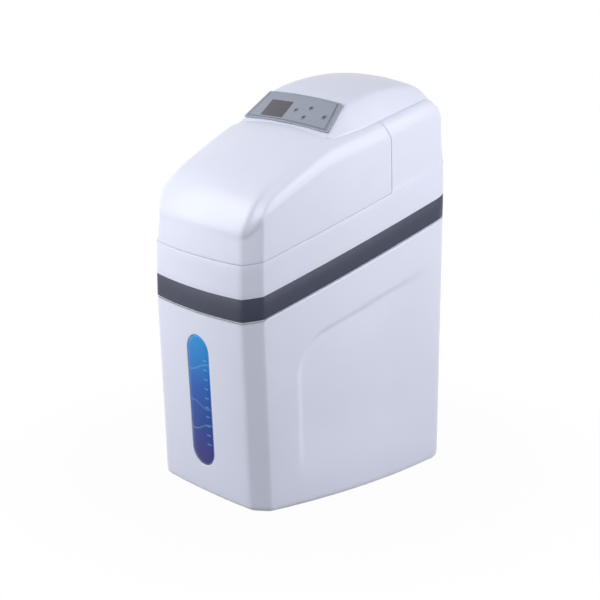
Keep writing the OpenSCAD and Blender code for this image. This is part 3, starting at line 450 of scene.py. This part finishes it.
def crown(x, y):
    # height inside the crease: a parabola across, and a sloping band from the dome edge down to the crease
    # along the sides and the rear; t is 0 at the dome edge and 1 at the crease, rounded at the corner
    low, edge, rearEdge = creaseZ(y), creaseX(y), yRear - top["draft"] - top["shoulderWide"]
    inner = top["domeHalf"] + top["domeFlare"] * (1 - np.clip((y - panelY) / top["panelRun"], 0, 1))
    rearInner = yRear - top["domeTail"]
    p = (np.abs(x) - inner) / (edge - inner)
    q = (y - rearInner) / (rearEdge - rearInner)
    t = np.where((p > 0) & (q > 0), np.hypot(p, q), np.maximum(p, q))

    def soft(t):
        return (t + np.sqrt(t * t + 0.016)) / 2
    rest = np.maximum(spine(y) - low - edge ** 2 / 2 / top["crownRound"], 0)
    band = np.clip((soft(t) - soft(-3.0)) / (soft(1.0) - soft(-3.0)), 0, 1)
    return low + np.maximum(0, edge ** 2 - x * x) / 2 / top["crownRound"] + rest * (1 - band)


def roundDrop(height, t):
    # quarter ellipse: full drop with a steep start at t = 0, none at t = 1
    return height * (1 - np.sqrt(np.clip(1 - (1 - np.clip(t, 0, 1)) ** 2, 0, 1)))


skinRows = dict(collar=6, wall=9, nose=30, cap=34)


def topGrid():
    # Rows of rings from the band to the middle of the dome. Returns points (rows, columns, 3) and the row
    # numbers of the seam, the lid's first and last row and the crease.
    d, gap = top["draft"], top["lidGap"]
    level = np.concatenate([np.linspace(0, 1, skinRows["collar"]), [2]]) * d / 6
    rise = np.linspace(0, 1, skinRows["wall"] + 1)[1:-1]
    q = np.concatenate([np.linspace(0, 1, skinRows["nose"])[:-3], [1, 1]])
    g = np.zeros(len(q))
    g[-2] = gap / 2
    p = np.linspace(0, 1, skinRows["cap"] + 1)[1:]
    low = np.concatenate([level, mixed(d / 3, d, rise)])
    front = np.concatenate([low, top["panelSet"] * q ** 2.4 + d * (1 - q) - g,
                            top["panelSet"] + top["capFront"] * p])
    sideIn = np.concatenate([low, top["shoulderWide"] * (1 - np.cos(np.pi / 2 * q)) + d - 1.5 * g,
                             d + top["shoulderWide"] + top["capSide"] * p ** 1.5])
    rearIn = np.concatenate([low, sideIn[len(low):len(low) + len(q)],
                             d + top["shoulderWide"] + top["capRear"] * p ** 1.2])
    n0, n1, n2 = len(low), len(q), len(p)
    bow = body["frontBow"] * np.concatenate([np.ones(n0), 1 - q, 0 * p])
    bowSide = body["sideBow"] * np.concatenate([np.ones(n0 + n1), 1 - p])
    facet = np.concatenate([np.full(n0, body["facet"]), mixed(body["facet"], 10, q), mixed(10, 2, p)])
    rear = np.concatenate([np.full(n0, body["rearRound"]), mixed(body["rearRound"], 25, q), mixed(25, 2, p)])
    seam = np.concatenate([np.full(n0, seamY), seamY - top["seamSweep"] * q,
                           seamY - top["seamSweep"] + top["capSeam"] * p])
    half = halfPlan(column(halfWide - sideIn), column(yFront + front), column(yRear - rearIn), column(bow),
                    column(bowSide), column(facet), column(rear), column(seam), gap)
    soft = mixed(2, 5, np.concatenate([np.zeros(n0), easeIn(q / 0.6), np.ones(n2)]))
    plan = wholePlan(half, soft)[:, ringColumns]
    x, y = plan[..., 0], plan[..., 1]
    # share of the side rounding in each column, from the front to past the corner
    place = np.minimum(ringColumns, 2 * halfCount - 2 - ringColumns)
    lean = easeIn((place - ringCount["front"] * 0.9) / (ringCount["corner"] * 1.4))[None, :]
    dropRows = np.concatenate([np.zeros(n0), q, np.ones(n2)])
    frontDrop = roundDrop(top["noseHeight"], top["panelSet"] * dropRows ** 2.4 / top["noseRun"])
    sideDrop = roundDrop(top["shoulderHigh"], 1 - np.cos(np.pi / 2 * dropRows))
    z = crown(x, y) - mixed(column(frontDrop), column(sideDrop), lean)
    nc = skinRows["collar"]
    z[:nc] = mixed(bandZ(y[:nc]) + 0.2, lidSeamZ(y[:nc]), column(np.linspace(0, 1, nc)))
    z[nc] = lidSeamZ(y[nc]) + top["lidFoot"]
    z[nc + 1:n0] = mixed(lidSeamZ(y[nc + 1:n0]) + top["lidFoot"], z[n0], column(rise))
    rowNumbers = dict(seam=nc - 1, lidLow=nc, lidTop=n0 + n1 - 2, crease=n0 + n1 - 1)
    return np.stack([x, y, z], -1), rowNumbers


skin, rowAt = topGrid()
skinCells = gridQuads(*skin.shape[:2], wrap=True)
cellRow = np.arange(skinCells.shape[0])[:, None]
cellCol = np.arange(skinCells.shape[1])[None, :]
nearCol = np.minimum(cellCol, len(ringColumns) - 1 - cellCol)
onLid = (cellRow >= rowAt["lidLow"]) & (cellRow < rowAt["lidTop"]) & (nearCol < seamKept)
behindSeam = nearCol > seamKept
cellMiddle = skin.reshape(-1, 3)[skinCells].mean(2)
inNotch = ((cellRow < rowAt["seam"]) & (cellMiddle[..., 1] > yRear - 12)
           & (np.abs(cellMiddle[..., 0]) < top["notchHalf"]))
panelAlong = ((cellMiddle[..., 1] - panelY) * math.cos(panelTurn)
              + (cellMiddle[..., 2] - panelZ) * math.sin(panelTurn))
inPanel = ((cellRow >= rowAt["crease"]) & (np.abs(cellMiddle[..., 0]) < 92)
           & (panelAlong > 6) & (panelAlong < panelLong - 7) & (cellMiddle[..., 1] < panelY + 60))
onHousing = ((cellRow < rowAt["seam"]) | (cellRow >= rowAt["crease"]) | behindSeam) & ~inNotch & ~inPanel

lastRing = (skin.shape[0] - 1) * skin.shape[1] + np.arange(skin.shape[1])
mirrorRing = np.roll(lastRing[::-1], 1)
closeStrip = np.stack([lastRing[1:halfKept - 1], lastRing[2:halfKept], mirrorRing[2:halfKept],
                       mirrorRing[1:halfKept - 1]], -1)
closeEnds = np.array([[lastRing[0], lastRing[1], mirrorRing[1]],
                      [lastRing[halfKept - 1], lastRing[halfKept], mirrorRing[halfKept - 1]]])

# lip that hangs from the hood edge inside the lid, so that the gap doesn't show the dark inside
lipRow = skin[rowAt["crease"]] * [0.997, 1, 1] + [0, 0.4, -top["lipDeep"]]
lipStart = skin.shape[0] * skin.shape[1]
lipCells = np.stack([lipStart + skinCells[0, :, 0], lipStart + skinCells[0, :, 1],
                     skinCells[rowAt["crease"], :, 1], skinCells[rowAt["crease"], :, 0]], -1)
housing = makePiece("hoodAndCollar", np.concatenate([skin.reshape(-1, 3), lipRow]),
                    [skinCells[onHousing], lipCells[nearCol[0] <= seamKept], closeStrip, closeEnds],
                    "cabinet", whitePlastic, ["upper_housing"])
thicken(housing, top["skin"], 0.6)
lid = makePiece("lidSkin", skin, [skinCells[onLid]], "lid", whitePlastic, ["salt_lid"])
thicken(lid, top["skin"], 0.6)
print("hood and lid made")


# Trim band: a closed profile carried along the plan ring

def bandPiece():
    wall, high = body["wall"], top["bandHeight"]
    across = np.array([[1.1, 0.2], [0.35, 0.35], [0, 1.0], [-0.1, high / 2], [0, high - 0.8],
                       [0.35, high - 0.15], [1.1, high], [wall + 0.1, high], [wall + 0.4, high + 9],
                       [wall + 2.4, high + 9], [wall + 3.4, -9], [wall + 1.4, -9], [wall + 0.8, 0.2]])
    inset = column(across[:, 0])
    half = halfPlan(halfWide - inset, yFront + inset, yRear - inset, body["frontBow"], body["sideBow"],
                    body["facet"] - 0.6 * inset, body["rearRound"] - inset, seamY + 0 * inset, top["lidGap"])
    plan = wholePlan(half)[:, ringColumns]
    points = np.concatenate([plan, (rimZ(plan[..., 1]) + column(across[:, 1]))[..., None]], -1)
    closed = np.concatenate([points, points[:1]])
    quads = gridQuads(*closed.shape[:2], wrap=True) % (points.shape[0] * points.shape[1])
    return makePiece("slateBand", points, [quads], "cabinet", bandPlastic, ["trim_band"])


bandPiece()
print("band made")


# Cabinet: outer wall with the dished side, rolled rim, inner wall and floor, with the window's opening

window = dict(half=30, low=54, high=295, frameCols=6, frameZ=20, edgeRound=1.3, bossHalf=44, bossDeep=7)


def frontWall(x, z):
    # y of the outer front wall at a place on it: the parabola across at that height's share of the way down
    base = body["baseRound"]
    y = yFront + 0 * x
    for step in range(5):
        s = 1 - (z - base) / (rimZ(y) - base)
        across = x / (halfWide + 1.5 * s - body["facet"])
        bow = mixed(body["frontBow"], body["baseFrontBow"], s)
        y = yFront + body["frontLean"] * s - bow * (1 - across ** 2)
    return y


def capsuleLoop(guide, half):
    # points on the window's capsule outline of that half width, one for each guide point (x, z) outside it:
    # straight in to the sides, and towards the centres of the round ends above and below
    x, z = guide[:, 0], guide[:, 1]
    centre = np.clip(z, window["low"] + window["half"], window["high"] - window["half"])
    away = np.stack([x, z - centre], 1)
    return away / np.linalg.norm(away, axis=1)[:, None] * half + np.stack([0 * x, centre], 1)


def dishIn(y, z):
    # depth of the dished side: distance inside its rounded front and top edges, eased, fading low and to
    # the rear
    reach = 60
    p = (y - body["dishFront"]) / reach
    q = (rimZ(y) - body["dishDrop"] - z) / reach
    corner = 1 - np.hypot(1 - p, 1 - q)
    d = reach * np.where((p < 1) & (q < 1), corner, np.minimum(p, q))
    return body["dishDepth"] * easeIn(d / 11) * easeIn((z - 40) / 110) * easeIn((yRear - 36 - y) / 130)


def wallRings(s, inset, lift):
    # rings of the wall at shares s of the way from the rim (0) to the base (1), moved in by inset
    s, inset, lift = column(s), column(inset), column(lift)
    half = halfPlan(halfWide + 1.5 * s - inset, yFront + body["frontLean"] * s + inset,
                    yRear - body["rearLean"] * s - inset, mixed(body["frontBow"], body["baseFrontBow"], s),
                    mixed(body["sideBow"], body["baseBow"], s), body["facet"] - 0.6 * inset,
                    np.maximum(2, body["rearRound"] - inset), seamY + 0 * s, 6)
    plan = wholePlan(half)[:, ringColumns]
    x, y = plan[..., 0], plan[..., 1]
    base = body["baseRound"]
    z = np.where(s >= 1, lift, base + (1 - s) * (rimZ(y) - base) + lift)
    place = np.minimum(ringColumns, 2 * halfCount - 2 - ringColumns)
    onSide = (place > ringStart["lidSide"]) & (place < ringStart["rearCorner"])
    x = x - np.sign(x) * np.where(onSide[None, :], dishIn(y, z), 0)
    return np.stack([x, y, z], -1)


def cabinetPiece():
    base, wall, floor = body["baseRound"], body["wall"], body["floorThick"]
    turn = np.radians(np.linspace(0, 80, 7))
    roll = np.radians(np.linspace(0, 180, 9))
    up = 1 - np.linspace(0, 1, 76)[1:] ** 1.15
    down = up[-2::-1]
    s = np.concatenate([np.ones(9), up, 0 * roll, down, np.ones(3)])
    inset = np.concatenate([[100, 50], base * (1 - np.sin(turn)), 0 * up, wall / 2 * (1 - np.cos(roll)),
                            np.full(len(down), wall), wall + np.array([0.1, 0.4, 0.8]) * base])
    lift = np.concatenate([[0, 0], base * (1 - np.cos(turn)), 0 * up, wall / 2 * np.sin(roll) - wall / 2,
                           0 * down, [base, base * 0.6, floor]])
    rings = wallRings(s, inset, lift)
    rows, cols = rings.shape[:2]
    quads = gridQuads(rows, cols, wrap=True)
    # blocks of the outer and inner wall round the window, and the points along their edges in the same order
    half = window["frameCols"]
    outerRows = 9 + np.flatnonzero((rings[9:9 + len(up), 0, 2] > window["low"] - window["frameZ"])
                                   & (rings[9:9 + len(up), 0, 2] < window["high"] + window["frameZ"]))
    innerRows = 9 + len(up) + len(roll) + len(up) - 2 - (outerRows - 9)
    across = np.arange(-half, half + 1) % cols

    def blockEdge(blockRows):
        return np.concatenate([blockRows[0] * cols + across, blockRows[1:-1] * cols + across[-1],
                               blockRows[-1] * cols + across[::-1], blockRows[-2:0:-1] * cols + across[0]])
    keep = np.ones(quads.shape[:2], bool)
    inside = (np.arange(cols) < half) | (np.arange(cols) >= cols - half)
    keep[outerRows[0]:outerRows[-1], inside] = False
    keep[innerRows[-1]:innerRows[0], inside] = False
    points = rings.reshape(-1, 3)
    outer, inner = blockEdge(outerRows), blockEdge(innerRows)
    guide = points[outer][:, [0, 2]]
    # loops from the outer block edge to the opening, round its edge, through the wall, over the boss behind
    # it and out to the inner block edge: half width, share of the way from the block edge and depth
    bend = np.radians([30, 60, 90])
    edge = window["edgeRound"]
    loops = [(window["half"] + edge, t, 0) for t in (0.3, 0.6, 0.85, 1)]
    loops += [(window["half"] + edge * (1 - math.sin(a)), 1, edge * (1 - math.cos(a))) for a in bend]
    loops += [(window["half"], 1, window["bossDeep"]), (window["bossHalf"], 1, window["bossDeep"]),
              (window["bossHalf"], 1, wall)]
    made = []
    for wide, share, deep in loops:
        flat = mixed(guide, capsuleLoop(guide, wide), share)
        made.append(np.stack([flat[:, 0], frontWall(flat[:, 0], flat[:, 1]) + deep, flat[:, 1]], 1))
    many = len(guide)
    fresh = rows * cols + np.arange(len(made) * many).reshape(len(made), many)
    order = np.concatenate([outer[None], fresh, inner[None]])
    cells = gridQuads(len(order), many, wrap=True)
    strip = order[cells // many, cells % many]
    ends = rows * cols + len(made) * many + np.arange(2)
    points = np.concatenate([points] + made + [[[0, 0, 0], [0, 0, floor]]])
    fans = [poleFan(np.arange(cols), ends[0], True), poleFan((rows - 1) * cols + np.arange(cols), ends[1])]
    return makePiece("cabinetShell", points, [quads[keep], strip] + fans, "cabinet", whitePlastic,
                     ["brine_cabinet"])


cabinetPiece()
print("cabinet made")


# Sight window: a clear capsule over a blue print, with a flange behind the wall

def windowFinish():
    # Blue print under a clear lens: a fade from sky blue to indigo, three long soft waves and level ticks on
    # the right, with the colour paler within about 4 mm of the capsule's edge. Heights are shares of the
    # window, sideways places are metres.
    stops = [(0.0, tint(50, 30, 120)), (0.16, tint(34, 48, 142)), (0.36, tint(10, 66, 158)),
             (0.6, tint(4, 90, 184)), (0.84, tint(14, 132, 214)), (1.0, tint(40, 148, 216))]

    waveRows = ((0.30, 0.030, 70, 0.008), (0.47, 0.022, -85, 0.006), (0.76, 0.034, 60, 0.009))

    def linked(where):
        x = where.part(0)
        level = (where.part(2) - window["low"] * mm) / ((window["high"] - window["low"]) * mm)
        fade = level.node("ValToRGB", {"stops": stops}, {0: level})
        waves = None
        for height, swing, turn, thick in waveRows:
            off = (level - height - (x * turn).maths("SINE") * swing).maths("ABSOLUTE")
            line = (1 - off.ramp(thick * 0.3, thick)) * 0.32
            waves = line if waves is None else waves.maths("MAXIMUM", line)
        step = (level * 14).maths("FRACT") - 0.5
        tick = 1 - step.maths("ABSOLUTE").ramp(0.05, 0.1)
        tick = tick * (1 - (x - 0.018).maths("ABSOLUTE").ramp(0.0045, 0.0055))
        tick = tick * level.ramp(0.12, 0.16) * (1 - level.ramp(0.84, 0.88)) * 0.4
        lit = waves.maths("MAXIMUM", tick)
        grain = where.noise(420, 3)
        # distance from the capsule's middle line, for the paler edge
        past = (where.part(2) - (window["high"] + window["low"]) * 0.5 * mm).maths("ABSOLUTE")
        past = (past - ((window["high"] - window["low"]) * 0.5 - window["half"]) * mm).maths("MAXIMUM", 0.0)
        out = (x * x + past * past).maths("SQRT")
        paleTowardsEdge = out.ramp((window["half"] - 4.5) * mm, (window["half"] - 0.5) * mm) * 0.55
        inked = lit.blend(fade, tint(120, 205, 250))
        return {"Base Color": paleTowardsEdge.blend(inked, tint(132, 176, 232)),
                "Roughness": grain * 0.1 + 0.16,
                "Normal": where.noise(30, 2).bump(0.0004)}
    return makeMaterial("windowPrint", {"Coat Weight": 0.05, "Coat Roughness": 0.04, "IOR": 1.33}, linked)


def windowLens():
    # loops of the capsule outline by half width and depth: domed front, rim, side, flange and back
    turn = np.radians(np.linspace(0, 180, 41))
    arc = np.stack([np.cos(turn), np.sin(turn)], 1) * 60
    side = np.linspace(0, 1, 40)[1:-1]
    low, high = window["low"] + window["half"], window["high"] - window["half"]
    rise = np.stack([0 * side + 60, mixed(low, high, side)], 1)
    guide = np.concatenate([arc + [0, high], rise[::-1] * [-1, 1], -arc + [0, low], rise])
    edge = window["half"] - 0.3
    loops = [(0.4, 0.2), (8, 0.25), (16, 0.42), (23, 0.7), (edge - 2.6, 1.0), (edge - 2.2, 1.25),
             (edge - 1.6, 1.25), (edge - 0.9, 1.35), (edge - 0.3, 1.7), (edge, 2.4), (edge, 8),
             (37, 8), (37, 11), (0.4, 11)]
    made = []
    for wide, deep in loops:
        flat = capsuleLoop(guide, wide)
        made.append(np.stack([flat[:, 0], frontWall(flat[:, 0], flat[:, 1]) + deep, flat[:, 1]], 1))
    made = np.array(made)
    rows, cols = made.shape[:2]
    quads = gridQuads(rows, cols, wrap=True)
    lastFront, lastBack = np.arange(cols), (rows - 1) * cols + np.arange(cols)
    faces = [quads[..., ::-1], lastFront[None], lastBack[None, ::-1]]
    return makePiece("windowLens", made, faces, "cabinet", windowFinish(), ["sight_window"])


windowLens()
print("window made")


# Control panel: raised rim round the film, and the keys

keys = dict(menu=(10.7, 28.6), up=(41, 38.8), back=(40, 16.9), next=(82.5, 27))
keySize = dict(round=5, flange=6.2, stem=2, top=4.2, mark=3.1)


def onPanel(u, v, h):
    # place on the crowned panel: u across, v up the slope, h above the skin, as world points
    n = np.sqrt((plateRound + h) ** 2 - u * u) - plateRound
    return np.stack([u + 0 * v, panelY + v * math.cos(panelTurn) - n * math.sin(panelTurn),
                     panelZ + v * math.sin(panelTurn) + n * math.cos(panelTurn)], -1)


def plateOutline(d, bend):
    # outline of the plate moved in by d, with corners cut by a quadratic curve of that reach
    low, high = plate["halfLow"] - 2 * d, plate["halfHigh"] - 2 * d
    v0, v1 = plate["setBack"] + d, panelLong - d
    corners = np.array([[-low, v0], [low, v0], [high, v1], [-high, v1]])
    t = np.linspace(0, 1, 7)[:, None]
    along = np.linspace(0, 1, 26)[1:-1][:, None]
    runs = []
    for k in range(4):
        here, before, after = corners[k], corners[k - 1], corners[(k + 1) % 4]
        start = here + (before - here) / np.linalg.norm(before - here) * bend
        end = here + (after - here) / np.linalg.norm(after - here) * bend
        nextStart = after + (here - after) / np.linalg.norm(here - after) * bend
        runs += [start * (1 - t) ** 2 + here * 2 * t * (1 - t) + end * t ** 2, mixed(end, nextStart, along)]
    return np.concatenate(runs)


def panelRim():
    across = [(0, 0.6), (0, 2.8), (0.12, 3.25), (0.45, 3.55), (0.8, 3.6), (2.4, 3.6), (2.8, 3.5), (3.0, 3.2),
              (3.05, 2.7), (3.05, 0.6)]
    loops = []
    for d, h in across:
        flat = plateOutline(d, max(1.2, 3.2 - 0.6 * d))
        loops.append(onPanel(flat[:, 0], flat[:, 1], h))
    loops = np.array(loops)
    closed = gridQuads(len(loops) + 1, loops.shape[1], wrap=True) % (loops.shape[0] * loops.shape[1])
    return makePiece("panelRim", loops, [closed], "cabinet", panelPlastic, ["panel_fascia"])


def keyFinish(name, centre):
    # rubber key in the panel's grey with a dark round mark about its middle
    def linked(where):
        away = where.node("VectorMath", {"operation": "DISTANCE"}, {0: where, 1: centre}, "Value")
        mark = 1 - away.ramp(keySize["mark"] * mm, (keySize["mark"] + 0.5) * mm)
        tone = where.noise(40, 3).blend(shade(panelTone, 0.9), panelTone)
        return {"Base Color": mark.blend(tone, shade(panelTone, 0.2)),
                "Roughness": where.noise(300, 2) * 0.12 + 0.5,
                "Normal": where.noise(2600, 2).bump(0.00004)}
    return makeMaterial(name + "Rubber", {"IOR": 1.45}, linked)


def keyPiece(name, u, v):
    # turned shape: stem, flange under the film, cap with a rounded edge and a hollow top
    r, high = keySize["round"], keySize["top"]
    across = np.array([[0, -5], [keySize["stem"], -5], [keySize["stem"], -1.6], [keySize["flange"], -1.6],
                       [keySize["flange"], -0.5], [r, -0.4], [r, high - 0.8], [r - 0.12, high - 0.4],
                       [r - 0.4, high - 0.12], [r - 0.8, high], [r - 1.6, high - 0.05], [r - 3.2, high - 0.22],
                       [0, high - 0.3]])
    a = np.linspace(0, 2 * np.pi, 48, endpoint=False)
    side, ahead = across[:, :1] * np.cos(a), across[:, :1] * np.sin(a)
    lean = math.asin(u / plateRound)
    reach = plateRound + across[:, 1:]
    n = reach * math.cos(lean) - side * math.sin(lean) - plateRound
    v = v + plate["setBack"] + ahead
    points = np.stack([reach * math.sin(lean) + side * math.cos(lean),
                       panelY + v * math.cos(panelTurn) - n * math.sin(panelTurn),
                       panelZ + v * math.sin(panelTurn) + n * math.cos(panelTurn)], -1)
    rows, cols = points.shape[:2]
    quads = gridQuads(rows, cols, wrap=True)
    finish = keyFinish(name, tuple(points[-1, 0] * mm))
    return makePiece(name + "Key", points, [quads], name + "_key", finish, ["key_" + name])


panelRim()
for name, (u, v) in keys.items():
    keyPiece(name, u, v)
print("panel made")


# Pipe ends and hose barbs at the rear

pipes = dict(x=28, round=16.6, start=5.2, turns=9.5, pitch=2.3, high=0.5)
hoses = dict(drain=dict(x=64, z=None, round=6.5, start=5, ridges=4),
             overflow=dict(x=66, z=400, round=8, start=15, ridges=4))
portZ = bandZ(yRear) + top["collarHeight"] / 2


def pipeThread(side):
    # a ridge carried along a helix about the pipe, its height eased in and out at both ends
    turn = np.linspace(0, 2 * np.pi * pipes["turns"], int(44 * pipes["turns"]))[:, None]
    across = np.array([[-1.0, -0.1], [-0.25, 1], [0.25, 1], [1.0, -0.1]])
    share = turn / turn[-1]
    tall = easeIn(share / 0.06) * easeIn((1 - share) / 0.06)
    r = pipes["round"] + pipes["high"] * across[None, :, 1] * tall
    along = turn / 2 / np.pi + across[None, :, 0] * 0.45
    y = yRear + pipes["start"] + pipes["pitch"] * along
    points = np.stack([side * pipes["x"] + r * np.cos(turn), y, portZ + r * np.sin(turn)], -1)
    points = points.reshape(len(turn), len(across), 3)
    return makePiece("pipeThread" + ("Left" if side < 0 else "Right"), points, [gridQuads(*points.shape[:2])],
                     "cabinet", blackPlastic)


def hoseBarb(name, x, z, round, start, ridges):
    # saw-tooth profile turned about the hose axis: each ridge falls away towards the open end
    step = np.arange(ridges)[:, None]
    y = (start + 4.6 * step + np.array([0, 0.05, 0.5, 4.4])).ravel()
    r = (round - 0.1 + np.array([0, 0.85, 0.95, 0.05]) + 0 * step).ravel()
    a = np.linspace(0, 2 * np.pi, 40, endpoint=False)
    z = portZ if z is None else z
    y, r = column(y), column(r)
    points = np.stack([x + r * np.cos(a), yRear + y + 0 * a, z + r * np.sin(a)], -1)
    faces = [gridQuads(*points.shape[:2], wrap=True)[..., ::-1]]
    return makePiece(name + "Barb", points, faces, "cabinet", plainWhite)


for side in (-1, 1):
    pipeThread(side)
for name, hose in hoses.items():
    hoseBarb(name, **hose)
print("pipe ends made")


# Finishes of the frame's own nodes, by material slot

finishes = dict(housing=whitePlastic, band=bandPlastic, window=whitePlastic, panel=panelPlastic,
                key=keyRubber, black=blackPlastic, white=plainWhite,
                seal=mouldedPlastic("sealRubber", tint(186, 192, 210), 0.7, grain=0.00005, grainScale=2400,
                                    spread=0.05),
                overlay=filmFinish(), lens=displayFinish(), electronics=boardFinish(), tank=tankFinish(),
                resin=resinFinish(), motor=motorFinish(),
                steel=metal("brightSteel", tint(206, 208, 212), 0.28),
                brass=metal("plainBrass", tint(214, 178, 104), 0.3),
                gear=mouldedPlastic("acetal", tint(226, 220, 200), 0.4, spread=0.03),
                lever=mouldedPlastic("redLever", tint(176, 40, 38), 0.34, spread=0.05, coat=0.2),
                grid=mouldedPlastic("gridPlastic", tint(222, 226, 232), 0.5, grain=0.00008, grainScale=900,
                                    spread=0.04),
                inlet=mouldedPlastic("inletPlastic", tint(38, 38, 41), 0.5, spread=0.08))
for part in frame["record"]["subparts"]:
    node = frame["nodes"][part["node"]]
    node.data.materials.clear()
    node.data.materials.append(finishes[part["material_slot"]])
print("finishes set")


# Stage, light and camera

def stagePlane():
    reach = 40.0
    mesh = bpy.data.meshes.new("studioFloor")
    corners = [(-reach, -reach, 0), (reach, -reach, 0), (reach, reach, 0), (-reach, reach, 0)]
    mesh.from_pydata(corners, [], [(0, 1, 2, 3)])
    floor = bpy.data.objects.new("studioFloor", mesh)
    bpy.context.scene.collection.objects.link(floor)
    return floor


def seenDirectly(where):
    # 1 for camera, glossy and transmission rays
    rays = [where.node("LightPath", None, None, name)
            for name in ("Is Camera Ray", "Is Glossy Ray", "Is Transmission Ray")]
    return rays[0].maths("MAXIMUM", rays[1].maths("MAXIMUM", rays[2]))


def stageMaterial():
    # pale floor: for what looks at it directly mostly white, with a share of the lit surface for the shadow
    material = bpy.data.materials.new("palePaper")
    material.use_nodes = True
    tree = material.node_tree
    tree.nodes.clear()
    where = Wire(tree, tree.nodes.new("ShaderNodeTexCoord").outputs["Object"])
    paper = where.node("BsdfDiffuse", None, {"Color": (0.45, 0.45, 0.46, 1)})
    white = where.node("Emission", None, {"Color": (1, 1, 1, 1), "Strength": 1.0})
    away = (where.part(0) * where.part(0) + where.part(1) * where.part(1)).maths("SQRT")
    share = seenDirectly(where) * (away.ramp(0.3, 0.7) * 0.03 + 0.97)
    made = where.node("MixShader", None, {0: share, 1: paper, 2: white})
    out = tree.nodes.new("ShaderNodeOutputMaterial")
    tree.links.new(made.socket, out.inputs["Surface"])
    return material


stagePlane().data.materials.append(stageMaterial())

scene = bpy.context.scene
scene.view_settings.view_transform = "Standard"
world = bpy.data.worlds.new("studio")
scene.world = world
world.use_nodes = True
worldTree = world.node_tree
worldTree.nodes.clear()
skyWire = Wire(worldTree, worldTree.nodes.new("ShaderNodeTexCoord").outputs["Generated"])
skyLight = skyWire.node("Background", None, {"Color": (0.95, 0.97, 1.0, 1), "Strength": 0.08})
skyWhite = skyWire.node("Background", None, {"Color": (1, 1, 1, 1), "Strength": 1.0})
skyMix = skyWire.node("MixShader", None, {0: seenDirectly(skyWire), 1: skyLight, 2: skyWhite})
worldOut = worldTree.nodes.new("ShaderNodeOutputWorld")
worldTree.links.new(skyMix.socket, worldOut.inputs["Surface"])

lamps = dict(frontLeft=dict(azimuth=-34, height=1.0, reach=1.6, wide=1.3, power=16),
             frontHigh=dict(azimuth=-15, height=1.6, reach=1.5, wide=1.2, power=13),
             sideRight=dict(azimuth=112, height=1.0, reach=1.5, wide=1.2, power=14.5),
             sideHigh=dict(azimuth=98, height=1.5, reach=1.4, wide=1.0, power=7),
             rearFill=dict(azimuth=232, height=0.7, reach=2.2, wide=1.6, power=16))
aim = np.array([0, 0, 0.40])
for name, lamp in lamps.items():
    light = bpy.data.lights.new(name, "AREA")
    light.energy = lamp["power"]
    light.size = lamp["wide"]
    turn = math.radians(lamp["azimuth"])
    spot = np.array([math.sin(turn) * lamp["reach"], -math.cos(turn) * lamp["reach"], lamp["height"]])
    holder = bpy.data.objects.new(name, light)
    holder.location = spot
    holder.rotation_euler = Vector(aim - spot).to_track_quat("-Z", "Y").to_euler()
    # the fill lights what faces away, without a mirror image of itself on the dome
    holder.visible_glossy = name != "rearFill"
    scene.collection.objects.link(holder)

view = dict(azimuth=49.20, elevation=15.61, distance=3.06182, aimHeight=0.31392, lens=102.0, shiftX=-0.00228)
cameraData = bpy.data.cameras.new("photoView")
cameraData.lens = view["lens"]
cameraData.sensor_width = 36
cameraData.shift_x = view["shiftX"]
camera = bpy.data.objects.new("photoView", cameraData)
az, el = math.radians(view["azimuth"]), math.radians(view["elevation"])
toward = Vector((math.sin(az) * math.cos(el), -math.cos(az) * math.cos(el), math.sin(el)))
camera.location = Vector((0, 0, view["aimHeight"])) + toward * view["distance"]
camera.rotation_euler = (-toward).to_track_quat("-Z", "Y").to_euler()
scene.collection.objects.link(camera)
scene.camera = camera
print("stage, light and camera set")
